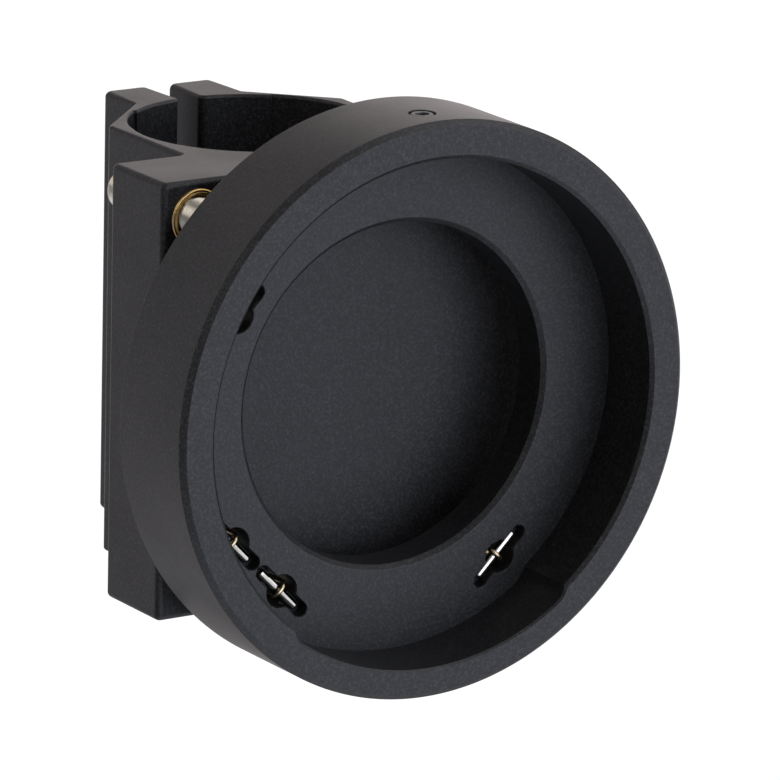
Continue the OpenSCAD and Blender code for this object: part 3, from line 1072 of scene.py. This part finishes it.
    def cutters(self) -> list[bpy.types.Mesh]:
        """Bodies of the holes.

        Returns:
            One closed mesh for each hole.
        """
        return [*self.contact_holes(), *self.spring_holes(), *self.screw_holes()]

    def contact_holes(self) -> list[bpy.types.Mesh]:
        """Bodies of the holes of the two bushings and the pivot's stud.

        Returns:
            One closed mesh for each hole.
        """
        over, front, rear = Drill.OVER, self.plate_front, self.plate_rear
        made = []
        for place in (Place.TOP, Place.SIDE):
            bushing = Drill.plain(self.bushing_r, rear - front + 2 * over)
            made.append(bushing.mesh("hole", facing_front(place.x, rear + over, place.z)))
        stud = Drill.plain(self.stud_r, self.stud_depth + over)
        bottom = facing_front(Place.PIVOT.x, front + self.stud_depth, Place.PIVOT.z)
        return [*made, stud.mesh("hole", bottom)]

    def spring_holes(self) -> list[bpy.types.Mesh]:
        """Bodies of the springs' holes, and of the slots or cross holes that hold their pins.

        Returns:
            One closed mesh for each hole.
        """
        made = []
        low = -self.half_h - self.drop
        for place in SpringPlace:
            x, z, slant = place.value
            if place.through:
                mouth = facing_front(x, self.plate_rear, z)
                hole = Drill.through(self.spring_r, self.plate_rear - self.plate_front, self.mouth_break)
                made += [hole.mesh("hole", mouth), KeyholeSlot().cutter(mouth, slant)]
            else:
                hole = Drill.flared(self.spring_r, 0, self.blind_depth, self.mouth_break)
                made.append(hole.mesh("hole", facing_front(x, self.plate_front + self.blind_depth, z)))
                pin = Drill.plain(self.cross_pin_r, self.cross_pin_top - low + Drill.OVER)
                made.append(pin.mesh("hole", facing_up(x, self.cross_pin_y, low - Drill.OVER)))
        return made

    def screw_holes(self) -> list[bpy.types.Mesh]:
        """Bodies of the clear holes in the right jaw and the threaded ones in the left jaw.

        Returns:
            One closed mesh for each hole.
        """
        made = []
        for z in self.screw_heights:
            for r, turn in ((self.clear_r, 0), (self.thread_r, 180)):
                middle = facing_up(0, self.screw_y, z) @ Matrix.Rotation(math.radians(turn), 4, "Z")
                hole = Drill.flared(r, 0, self.jaw_x, self.mouth_break)
                made.append(hole.mesh("hole", middle @ Matrix.Rotation(QUARTER_TURN, 4, "Y")))
        return made

    def build(self, finishes: Finishes) -> bpy.types.Object:
        """Cuts the holes, dresses the block and puts it in place of its solid.

        Args:
            finishes: the part's finishes.

        Returns:
            The block.
        """
        block = carve("clamp_block_rounded", self.body(), self.cutters())
        return settle(block, finishes, Look.BLOCK_BLACK, "clamp_block", "clamp")


@dataclass
class OpticCell:
    """Round cell with its rim, ledge, keyholes, seat pockets and set screw hole."""

    cell_r: float = 44.0
    seat_r: float = 38.2
    aperture_r: float = 26.25
    back_y: float = -34.55
    thickness: float = 18.0
    ledge_t: float = 6.5
    rim_bevel: float = 0.85
    seat_bevel: float = 0.6
    aperture_bevel: float = 0.73
    back_bevel: float = 0.5
    edge_round: float = 0.16
    corner_round: float = 0.02
    corner_steps: int = 3
    segments: int = 300
    relief_depth: float = 1.15
    relief_lift: float = 0.05
    relief_half_angle: float = 34.5
    relief_cutter_r: float = 3.5
    relief_mouth: float = 0.3
    relief_steps: int = 40
    relief_end_step: int = 9
    spring_r: float = SPRING_HOLE_R
    spring_segments: int = 72
    mouth_break: float = 0.14
    pocket_r: float = 3.21
    pocket_depth: float = 3.6
    set_y: float = SET_SCREW_Y
    set_r: float = 2.05
    set_bevel: float = 0.14

    def body(self) -> bpy.types.Mesh:
        """Turned ring with softly broken edges, before the cuts.

        Returns:
            A closed mesh.
        """
        t, ledge = self.thickness, self.ledge_t
        edge = self.edge_round
        corners = [(self.aperture_r, 0, edge), (self.cell_r - self.back_bevel, 0, edge),
                   (self.cell_r, self.back_bevel, edge), (self.cell_r, t - self.rim_bevel, edge),
                   (self.cell_r - self.rim_bevel, t, edge), (self.seat_r + self.seat_bevel, t, edge),
                   (self.seat_r, t - self.seat_bevel, edge), (self.seat_r, ledge, self.corner_round),
                   (self.aperture_r + self.aperture_bevel, ledge, edge),
                   (self.aperture_r, ledge - self.aperture_bevel, edge)]
        points = [Vector(c[:2]) for c in corners]
        turned, n = Turning(self.segments), len(points)
        rounding = Outline(self.corner_steps)
        profile = []
        for i, p in enumerate(points):
            profile += rounding.corner(points[i - 1], p, points[(i + 1) % n], corners[i][2])
        for p in [*profile, profile[0]]:
            turned.ring(p.x, p.y)
        return turned.mesh("optic_cell_body", facing_front(0, self.back_y, 0))

    @staticmethod
    def outward(a: float) -> Vector:
        """Direction outward at an angle from the lowest point."""
        return Vector((math.sin(a), -math.cos(a), 0))

    def relief_end(self, side: int, b: float, extra: float) -> Vector:
        """Point on the round end of the relief at one side.

        Args:
            side: 1 for the right end, -1 for the left end.
            b: angle along the round end, in radians.
            extra: how much wider the outline is.

        Returns:
            The point, in millimetres.
        """
        a, cutter = side * math.radians(self.relief_half_angle), self.relief_cutter_r
        along = Vector((math.cos(a), math.sin(a), 0))
        turn = math.cos(b) * self.outward(a) + side * math.sin(b) * along
        return (self.seat_r + self.relief_depth - cutter) * self.outward(a) + (cutter + extra) * turn

    def relief_row(self, height: float, extra: float) -> list[Vector]:
        """Outline of the relief at one height, made wider all round.

        Args:
            height: local height.
            extra: how much wider.

        Returns:
            The points in order.
        """
        half, steps = math.radians(self.relief_half_angle), self.relief_steps
        quarter = [math.radians(v) for v in range(self.relief_end_step, 90 + 1, self.relief_end_step)]
        r = self.seat_r + self.relief_depth + extra
        points = [r * self.outward(half * k / steps) for k in range(-steps, steps + 1)]
        points += [self.relief_end(1, b, extra) for b in quarter]
        points += [self.relief_end(-1, b, extra) for b in reversed(quarter)]
        return [p + Vector((0, 0, height)) for p in points]

    def relief(self) -> bpy.types.Mesh:
        """Cutter of the relief along the bottom of the seat.

        Returns:
            A closed mesh.
        """
        over, mouth = Drill.OVER, self.relief_mouth
        rows = [self.relief_row(self.ledge_t + self.relief_lift, 0),
                self.relief_row(self.thickness - mouth, 0),
                self.relief_row(self.thickness + over, mouth + over)]
        return prism("relief", rows, facing_front(0, self.back_y, 0))

    def cutters(self) -> list[bpy.types.Mesh]:
        """Bodies of the relief, the keyholes, the pockets and the set screw hole.

        Returns:
            One closed mesh for each cut.
        """
        over = Drill.OVER
        made = [self.relief()]
        for place in SpringPlace:
            x, z, slant = place.value
            hole = Drill.through(self.spring_r, self.ledge_t, self.mouth_break, self.spring_segments)
            made.append(hole.mesh("hole", facing_front(x, self.back_y, z)))
            inward = facing_front(x, self.back_y - self.ledge_t, z) @ Matrix.Rotation(math.pi, 4, "Y")
            made.append(KeyholeSlot().cutter(inward, -slant))
        for place in Place:
            pocket = Drill.plain(self.pocket_r, self.pocket_depth + over)
            made.append(pocket.mesh("hole", facing_front(place.x, self.back_y + over, place.z)))
        screw = Drill.flared(self.set_r, self.seat_r - over, self.cell_r, self.set_bevel)
        return [*made, screw.mesh("hole", facing_up(0, self.set_y, 0))]

    def build(self, finishes: Finishes) -> bpy.types.Object:
        """Cuts the ring, dresses it and puts it in place of its solid.

        Args:
            finishes: the part's finishes.

        Returns:
            The cell.
        """
        cell = carve("optic_cell_rounded", self.body(), self.cutters())
        return settle(cell, finishes, Look.CELL_BLACK, "optic_cell", "cell")


@dataclass
class Bushing:
    """Brass bushing of an adjuster, with a rounded lip and a turned line on its face."""

    place: Place
    node: str
    rear: float = PLATE_REAR
    length: float = 15.9
    radius: float = 4.475
    bore: float = 3.225
    lip: float = 0.34
    bevel: float = 0.5
    rear_bevel: float = 0.15
    line_r: float = 4.0
    line: float = 0.05
    segments: int = 96
    lip_steps: int = 6

    def build(self, finishes: Finishes) -> bpy.types.Object:
        """Turns the bushing in place of its solid.

        Args:
            finishes: the part's finishes.

        Returns:
            The bushing.
        """
        top, line = self.length, self.line
        turned = Turning(self.segments).ring(self.bore, 0)
        turned.ring(self.radius - self.rear_bevel, 0).ring(self.radius, self.rear_bevel)
        for a in quarter_arc(self.lip_steps):
            turned.ring(self.radius - self.lip * (1 - math.cos(a)), top - self.lip * (1 - math.sin(a)))
        turned.ring(self.line_r + line, top).ring(self.line_r, top - line).ring(self.line_r - line, top)
        turned.ring(self.bore + self.bevel, top).ring(self.bore, top - self.bevel).ring(self.bore, 0)
        mesh = turned.mesh(self.node, facing_front(self.place.x, self.rear, self.place.z))
        piece = add_object(f"{self.node}_turned", mesh)
        return settle(piece, finishes, Look.BRASS, self.node, "clamp")


@dataclass
class KeyholePin:
    """Polished pin across a keyhole, with rounded ends."""

    node: str
    body: str
    x: float
    y: float
    z: float
    slant: float
    radius: float = 0.75
    length: float = 8.9
    end_round: float = 0.45
    segments: int = 40
    end_steps: int = 5

    def build(self, finishes: Finishes) -> bpy.types.Object:
        """Turns the pin in place of its solid.

        Args:
            finishes: the part's finishes.

        Returns:
            The pin.
        """
        turned, half, e = Turning(self.segments), self.length / 2, self.end_round
        turned.ring(0, -half)
        arc = quarter_arc(self.end_steps)
        for a in arc:
            turned.ring(self.radius - e * (1 - math.sin(a)), -half + e * (1 - math.cos(a)))
        for a in reversed(arc):
            turned.ring(self.radius - e * (1 - math.sin(a)), half - e * (1 - math.cos(a)))
        turned.ring(0, half)
        place = facing_front(self.x, self.y, self.z) @ Matrix.Rotation(math.radians(self.slant), 4, "Z")
        pin = turned.mesh(self.node, place @ Matrix.Rotation(QUARTER_TURN, 4, "Y"))
        piece = add_object(f"{self.node}_polished", pin)
        return settle(piece, finishes, Look.POLISHED_STEEL, self.node, self.body)


@dataclass
class SetScrew:
    """Set screw in the top of the rim, with a thread and a hex socket."""

    node: str = "optic_set_screw"
    body: str = "set_screw"
    y: float = SET_SCREW_Y
    top: float = 43.88
    length: float = 3.8
    radius: float = 2.0
    pitch: float = 0.7
    thread_depth: float = 0.3
    bevel: float = 0.4
    flats: float = 2.0
    socket_depth: float = 1.8
    socket_break: float = 0.1
    socket_cone: float = 0.15
    crown: float = 0.06
    crown_inset: float = 0.02
    segments: int = 72
    rows: int = 10

    def build(self, finishes: Finishes) -> bpy.types.Object:
        """Turns the screw in place of its solid.

        Args:
            finishes: the part's finishes.

        Returns:
            The screw.
        """
        top, low, small = self.top, self.top - self.length, self.radius - self.bevel
        turned = Turning(self.segments).ring(0, low).ring(small, low)
        turned.thread(self.radius, self.pitch, self.thread_depth, low + self.bevel, top - self.bevel,
                      self.rows)
        turned.ring(small + self.crown, top - self.crown).ring(small - self.crown_inset, top)
        turned.hexagon(self.flats + 2 * self.socket_break, top).hexagon(self.flats, top - self.socket_break)
        turned.hexagon(self.flats, top - self.socket_depth)
        turned.ring(0, top - self.socket_depth - self.socket_cone)
        screw = add_object(f"{self.node}_threaded", turned.mesh(self.node, facing_up(0, self.y, 0)))
        return settle(screw, finishes, Look.OXIDE, self.node, self.body)


@dataclass
class Adjuster:
    """Fine-thread screw with a cup for its ball in front and a hex socket behind."""

    place: Place
    node: str
    body: str
    front: float = -32.47
    rear: float = -7.35
    radius: float = 3.175
    pitch: float = 0.3175
    thread_depth: float = 0.17
    bevel: float = 0.4
    flats: float = 2.4
    socket_depth: float = 3.5
    socket_break: float = 0.12
    ball_y: float = -33.07
    cup_r: float = 2.43
    cup_steps: int = 6
    segments: int = 48
    rows: int = 5

    def build(self, finishes: Finishes) -> bpy.types.Object:
        """Makes the threaded screw in place of its solid.

        Args:
            finishes: the part's finishes.

        Returns:
            The screw.
        """
        length, proud = self.rear - self.front, self.front - self.ball_y
        turned = Turning(self.segments).ring(0, self.socket_depth).hexagon(self.flats, self.socket_depth)
        turned.hexagon(self.flats, self.socket_break).hexagon(self.flats + 2 * self.socket_break, 0)
        turned.ring(self.radius - self.bevel, 0)
        turned.thread(self.radius, self.pitch, self.thread_depth, self.bevel, length - self.bevel, self.rows)
        turned.ring(self.radius - self.bevel, length)
        turned.ring(math.sqrt(self.cup_r ** 2 - proud ** 2), length)
        start = math.acos(proud / self.cup_r)
        centre = length + proud
        for k in range(1, self.cup_steps):
            a = start * (1 - k / self.cup_steps)
            turned.ring(self.cup_r * math.sin(a), centre - self.cup_r * math.cos(a))
        turned.ring(0, centre - self.cup_r)
        mesh = turned.mesh(self.node, facing_front(self.place.x, self.rear, self.place.z))
        screw = add_object(f"{self.node}_threaded", mesh)
        return settle(screw, finishes, Look.TURNED_STEEL, self.node, self.body)


@dataclass
class JawScrew:
    """Socket head screw that draws the jaws together."""

    node: str
    body: str
    height: float
    screw_y: float = JAW_SCREW_Y
    jaw_x: float = JAW_X
    tip_recess: float = 0.9
    radius: float = 2.5
    pitch: float = 0.8
    thread_depth: float = 0.42
    head_r: float = 4.25
    head_h: float = 5.0
    flats: float = 4.0
    socket_depth: float = 2.6
    socket_break: float = 0.15
    socket_cone: float = 0.35
    ridges: int = 36
    ridge_depth: float = 0.16
    neck: float = 0.05
    edge: float = 0.35
    # Where the ridges stop and the plain band starts, from the top in widths of the edge
    ridge_stop: float = 2.2
    band: float = 2.0
    edge_steps: int = 5
    segments: int = 144
    rows: int = 10

    def build(self, finishes: Finishes) -> bpy.types.Object:
        """Makes the screw with its thread, knurled head and socket in place of its solid.

        Args:
            finishes: the part's finishes.

        Returns:
            The screw.
        """
        edge, seat, small = self.edge, self.jaw_x, self.head_r - self.ridge_depth
        start, top = self.tip_recess - seat, seat + self.head_h
        turned = Turning(self.segments).ring(0, start).ring(self.radius - self.thread_depth, start)
        turned.thread(self.radius, self.pitch, self.thread_depth, start + edge, seat - self.neck, self.rows)
        turned.ring(self.radius, seat).ring(small, seat)
        turned.ridged(self.head_r, self.ridge_depth, self.ridges, seat + edge)
        turned.ridged(self.head_r, self.ridge_depth, self.ridges, top - self.ridge_stop * edge)
        turned.ring(small, top - self.band * edge)
        for a in quarter_arc(self.edge_steps)[1:]:
            turned.ring(small - edge * (1 - math.cos(a)), top - edge + edge * math.sin(a))
        turned.hexagon(self.flats + 2 * self.socket_break, top).hexagon(self.flats, top - self.socket_break)
        turned.hexagon(self.flats, top - self.socket_depth)
        turned.ring(0, top - self.socket_depth - self.socket_cone)
        mesh = turned.mesh(self.node, facing_right(0, self.screw_y, self.height))
        screw = add_object(f"{self.node}_threaded", mesh)
        return settle(screw, finishes, Look.OXIDE, self.node, self.body)


@dataclass
class Spring:
    """Extension spring from a pin in the cell to a pin in the plate."""

    node: str
    x: float
    z: float
    front_angle: float
    rear_angle: float
    rear_y: float
    front_y: float = CELL_PIN_Y
    wire_r: float = 0.36
    coil_r: float = 1.8
    hook_r: float = 1.45
    hook_back: float = 0.3
    leg: float = 5.2
    bend_r: float = 0.7
    hook_end: float = 0.9
    hook_room: float = 2.2
    lead: float = 1.45
    lead_in: float = 70.0
    turn_steps: int = 26
    hook_step: int = 8
    bend_steps: int = 8
    straight_steps: int = 2
    sides: int = 12
    first_side: Point3 = (1, 0.3, 0.2)

    @staticmethod
    def across(angle: float) -> Vector:
        """Direction at an angle across the spring."""
        return Vector((math.cos(math.radians(angle)), math.sin(math.radians(angle)), 0))

    def hook(self, n: Vector, t: Vector) -> list[Vector]:
        """Hook around a pin at the origin.

        Args:
            n: direction across the pin, to the side where the leg stands.
            t: direction in which the coil starts.

        Returns:
            Points from the hook's free end to the coil.
        """
        up, parts = Vector((0, 0, 1)), self.straight_steps
        points = [-self.hook_r * n + up * self.hook_end * (1 - k / parts) for k in range(parts + 1)]
        for degrees in range(180 - self.hook_step, 0, -self.hook_step):
            a = math.radians(degrees)
            points.append(self.hook_r * (n * math.cos(a) - up * math.sin(a)))
        points += [self.hook_r * n + up * self.leg * k / parts for k in range(parts)]
        for b in quarter_arc(self.bend_steps):
            rise = self.leg + self.bend_r * math.sin(b)
            points.append(self.hook_r * n + up * rise + t * self.bend_r * (1 - math.cos(b)))
        return [p + up * self.hook_back for p in points]

    def path(self) -> list[Vector]:
        """Line of the wire from one hook to the other, with the front pin at the origin.

        Returns:
            Points in millimetres.
        """
        h = self.rear_y - self.front_y
        start_z = self.hook_back + self.leg + self.bend_r
        start_r = math.hypot(self.hook_r, self.bend_r)
        skew = math.degrees(math.atan(self.bend_r / self.hook_r))
        turns = math.floor((h - 2 * start_z) / self.lead)
        begin = self.front_angle + 90 + skew
        sweep = 360 * turns + self.rear_angle - self.front_angle - 2 * skew
        steps = math.ceil(self.turn_steps * sweep / 360)
        front = self.hook(self.across(self.front_angle + 90), self.across(self.front_angle + 180))
        rear = self.hook(self.across(self.rear_angle + 90), self.across(self.rear_angle))
        coil = []
        for k in range(1, steps):
            done = sweep * k / steps
            near = min(done, sweep - done, self.lead_in) / self.lead_in
            r = self.coil_r - (self.coil_r - start_r) * (1 - near) ** 2
            rise = start_z + (h - 2 * start_z) * k / steps
            coil.append(r * self.across(begin + done) + Vector((0, 0, rise)))
        return front + coil + [Vector((p.x, p.y, h - p.z)) for p in reversed(rear)]

    def wire(self) -> list[list[Vector]]:
        """Sweeps the wire's round section along its line.

        Returns:
            Rings of points from the front hook to the rear one, in millimetres.
        """
        line = [Vector((self.x + p.x, self.front_y + p.z, self.z + p.y)) for p in self.path()]
        turns = [2 * math.pi * k / self.sides for k in range(self.sides)]
        rows, side, n = [], Vector(self.first_side), len(line)
        for i, p in enumerate(line):
            along = (line[min(i + 1, n - 1)] - line[max(i - 1, 0)]).normalized()
            side = (side - side.dot(along) * along).normalized()
            other = along.cross(side)
            rows.append([p + self.wire_r * (math.cos(a) * side + math.sin(a) * other) for a in turns])
        return rows

    def hang(self, half: bpy.types.Object, finishes: Finishes) -> bpy.types.Object:
        """Dresses one half of the spring, hides the solid that it replaces, and bakes its placing into its
        mesh.

        Args:
            half: the half.
            finishes: the part's finishes.

        Returns:
            The half.
        """
        finishes.dress(half, Look.WIRE)
        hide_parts(self.node)
        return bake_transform(half)

    def build(self, finishes: Finishes) -> list[bpy.types.Object]:
        """Builds the spring in two halves, in place of its solid.

        The halves meet at the ring of the wire nearest the middle between the two pins.

        Args:
            finishes: the part's finishes.

        Returns:
            The front half and the rear half.
        """
        rows = self.wire()
        middle_y = (self.front_y + self.rear_y) / 2
        cut = min(range(len(rows)), key=lambda i: abs(rows[i][0].y - middle_y))
        halves = [add_object(f"{self.node}_{end}_half", prism(f"{self.node}_{end}", part, Matrix.Identity(4)))
                  for end, part in (("front", rows[:cut + 1]), ("rear", rows[cut:]))]
        return [self.hang(halves[0], finishes),
                self.hang(halves[1], finishes)]


@dataclass
class CellSprings:
    """The springs that draw the cell onto its contacts, with the pins in the keyholes."""

    front_y: float = CELL_PIN_Y
    through_y: float = -14.6
    cross_y: float = CROSS_PIN_Y
    cross_angle: float = 90

    def build(self, finishes: Finishes) -> list[bpy.types.Object]:
        """Builds every spring, and the pins in the keyholes.

        Args:
            finishes: the part's finishes.

        Returns:
            The halves of the springs, then the pins.
        """
        springs, pins = [], []
        for place in SpringPlace:
            x, z, slant = place.value
            name = place.name.lower()
            pins.append(KeyholePin(f"{name}_cell_pin", "cell", x, self.front_y, z, slant))
            if place.through:
                springs.append(Spring(f"{name}_spring", x, z, slant, slant, self.through_y))
                pins.append(KeyholePin(f"{name}_plate_pin", "clamp", x, self.through_y, z, slant))
            else:
                springs.append(Spring(f"{name}_spring", x, z, slant, self.cross_angle, self.cross_y))
        halves = [half for spring in springs for half in spring.build(finishes)]
        return halves + [pin.build(finishes) for pin in pins]


class CarriedSolids:
    """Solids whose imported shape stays: they only get their finish."""

    def dress(self, finishes: Finishes) -> int:
        """Gives each solid the finish of its slot.

        Args:
            finishes: the part's finishes.

        Returns:
            How many solids were dressed.
        """
        count = 0
        for row in frame["record"]["subparts"]:
            solid = frame["nodes"][row["node"]]
            if not solid.hide_render:
                finishes.dress(solid, Look.of_solid(Slot(row["material_slot"])))
                count += 1
        return count


@dataclass(frozen=True)
class Glow:
    """Soft patch of light on the wall of the room, by its angles from the front."""

    rightward: float
    upward: float
    rim: float
    colour: Colour

    def aim(self) -> Vector:
        """Direction toward the patch's middle."""
        return direction(self.rightward, self.upward)


@dataclass
class Studio:
    """Floor, soft light, white background and the camera."""

    floor_z: float = -0.12
    floor_half: float = 4.0
    floor_white: float = 0.86
    floor_roughness: float = 0.9
    floor_glow_share: float = 0.8
    floor_glow: float = 1.13
    ring_front: float = -0.05255
    azimuth: float = -33.385
    elevation: float = 15.299
    roll: float = 1.475
    distance: float = 1.0306
    focal_px: float = 7000.0
    centre_px: Point2 = (438.16, 412.87)
    sensor_mm: float = 36.0
    room: Colour = (0.06, 0.058, 0.06)
    mirrored_white: float = 0.05
    box_place: Point3 = (0.74, 0.98, 0.40)
    box_aim: Point3 = (0, -0.03, 0)
    box_side: float = 0.5
    box_power: float = 0.12
    box_colour: Colour = (1.0, 0.93, 0.88)
    glows: tuple[Glow, ...] = (
        Glow(10, 15, 0.80, (3.14, 3.32, 3.86)),
        Glow(64, 20, 0.80, (1.10, 1.16, 1.33)),
        Glow(64, -8, 0.80, (0.95, 1.00, 1.14)),
        Glow(64, 53, 0.80, (1.40, 1.36, 1.40)),
        Glow(-82, 40, 0.80, (1.10, 1.06, 1.03)),
        Glow(147, -5, 0.80, (1.20, 1.12, 1.08)),
        Glow(0, -45, 0.35, (1.12, 1.20, 1.38)),
        Glow(0, -90, 0.35, (0.27, 0.27, 0.28)),
        Glow(-135, 0, 0.35, (0.55, 0.52, 0.56)),
        Glow(135, 35, 0.35, (0.44, 0.40, 0.40)),
        Glow(180, -45, 0.35, (0.22, 0.21, 0.22)))

    def camera(self) -> bpy.types.Object:
        """Sets the camera at the photograph's angle.

        Returns:
            The camera.
        """
        a, roll = math.radians(self.azimuth), math.radians(self.roll)
        back = direction(self.azimuth, self.elevation)
        level = Vector((math.cos(a), math.sin(a), 0))
        steep = level.cross(-back)
        right = level * math.cos(roll) + steep * math.sin(roll)
        up = steep * math.cos(roll) - level * math.sin(roll)
        off_x, off_y = (v - PICTURE_SIDE / 2 for v in self.centre_px)
        forward = (-back * self.focal_px - right * off_x + up * off_y).normalized()
        right = forward.cross(up).normalized()
        up = right.cross(forward)
        data = bpy.data.cameras.new("camera")
        data.sensor_width = self.sensor_mm
        data.lens = self.focal_px / PICTURE_SIDE * self.sensor_mm
        made = add_object("camera", data)
        turn = Matrix((right, up, -forward)).transposed().to_4x4()
        made.matrix_world = Matrix.Translation(Vector((0, self.ring_front, 0)) + back * self.distance) @ turn
        bpy.context.scene.camera = made
        return made

    def floor(self) -> bpy.types.Object:
        """Lays the pale floor, which looks white and keeps a soft shadow.

        Returns:
            The floor.
        """
        h, z = self.floor_half, self.floor_z
        mesh = bpy.data.meshes.new("floor")
        mesh.from_pydata([(-h, -h, z), (h, -h, z), (h, h, z), (-h, h, z)], [], [(0, 1, 2, 3)])
        made = add_object("floor", mesh)
        paper, nodes, shader = new_material("pale_floor")
        shader.inputs["Base Color"].default_value = grey(self.floor_white)
        shader.inputs["Roughness"].default_value = self.floor_roughness
        path = nodes.add("ShaderNodeLightPath")
        seen = nodes.math("MULTIPLY", path.outputs["Is Camera Ray"], self.floor_glow_share)
        glow = nodes.add("ShaderNodeEmission", {"Color": grey(1.0), "Strength": self.floor_glow})
        both = nodes.add("ShaderNodeMixShader", {0: seen, 1: shader.outputs[0], 2: glow.outputs[0]})
        nodes.tree.links.new(both.outputs[0], nodes.tree.nodes["Material Output"].inputs["Surface"])
        mesh.materials.append(paper)
        made.visible_glossy = False
        return made

    def world(self) -> None:
        """Surrounds the part with a dim room that glows in front, and less to the sides, behind and below."""
        world = bpy.data.worlds.new("pale_room")
        world.use_nodes = True
        bpy.context.scene.world = world
        nodes = Nodes(world.node_tree)
        way = nodes.add("ShaderNodeTexCoord").outputs["Generated"]
        path = nodes.add("ShaderNodeLightPath")
        total: object = rgba(self.room)
        for glow in self.glows:
            dot = nodes.add("ShaderNodeVectorMath", {0: way, 1: tuple(glow.aim())}, operation="DOT_PRODUCT")
            share = nodes.remap(dot.outputs["Value"], (glow.rim, 1.0), UNIT, smooth=True)
            node = nodes.add("ShaderNodeMix", {0: share, 6: total, 7: rgba(glow.colour)}, data_type="RGBA",
                             blend_type="ADD")
            total = node.outputs[2]
        room = nodes.add("ShaderNodeBackground", {"Color": total, "Strength": 1.0})
        white = nodes.add("ShaderNodeBackground", {"Color": grey(1.0), "Strength": 1.0})
        mirrored = nodes.math("MULTIPLY", path.outputs["Is Glossy Ray"], self.mirrored_white)
        sheen = nodes.add("ShaderNodeBackground", {"Color": grey(1.0), "Strength": mirrored})
        lit = nodes.add("ShaderNodeAddShader", {0: room.outputs[0], 1: sheen.outputs[0]})
        seen = nodes.math("MAXIMUM", path.outputs["Is Camera Ray"], path.outputs["Is Transmission Ray"])
        both = nodes.add("ShaderNodeMixShader", {0: seen, 1: lit.outputs[0], 2: white.outputs[0]})
        nodes.tree.links.new(both.outputs[0], world.node_tree.nodes["World Output"].inputs["Surface"])

    def lamp(self) -> None:
        """Hangs a square soft lamp behind the part, on the right."""
        data = bpy.data.lights.new("rear_right_box", "AREA")
        data.size = self.box_side
        data.energy = self.box_power
        data.color = self.box_colour
        made = add_object("rear_right_box", data)
        made.visible_camera = False
        place = Vector(self.box_place)
        facing = (Vector(self.box_aim) - place).to_track_quat("-Z", "Y")
        made.matrix_world = Matrix.Translation(place) @ facing.to_matrix().to_4x4()

    def build(self) -> None:
        """Sets up the view settings, the stage, the light and the camera."""
        bpy.context.scene.view_settings.view_transform = "Standard"
        self.camera()
        self.floor()
        self.world()
        self.lamp()


def main() -> None:
    """Builds each sub-assembly in order and reports it."""
    logging.basicConfig(level=logging.INFO, format="%(name)s: %(message)s")
    Studio().build()
    log.info("stage, light and camera are set")
    finishes = Finishes()
    upper, lower = JAW_SCREW_HEIGHTS
    pieces = [ClampBlock().build(finishes),
              OpticCell().build(finishes),
              SetScrew().build(finishes),
              Bushing(Place.TOP, "top_bushing").build(finishes),
              Bushing(Place.SIDE, "side_bushing").build(finishes),
              Adjuster(Place.TOP, "top_screw", "top_adjuster").build(finishes),
              Adjuster(Place.SIDE, "side_screw", "side_adjuster").build(finishes),
              JawScrew("upper_clamp_screw", "upper_jaw_screw", upper).build(finishes),
              JawScrew("lower_clamp_screw", "lower_jaw_screw", lower).build(finishes),
              *CellSprings().build(finishes)]
    for piece in pieces:
        log.info("%s: %d faces", piece.name, len(piece.data.polygons))
    log.info("dressed %d packed solids", CarriedSolids().dress(finishes))


if __name__ == "__main__":
    main()
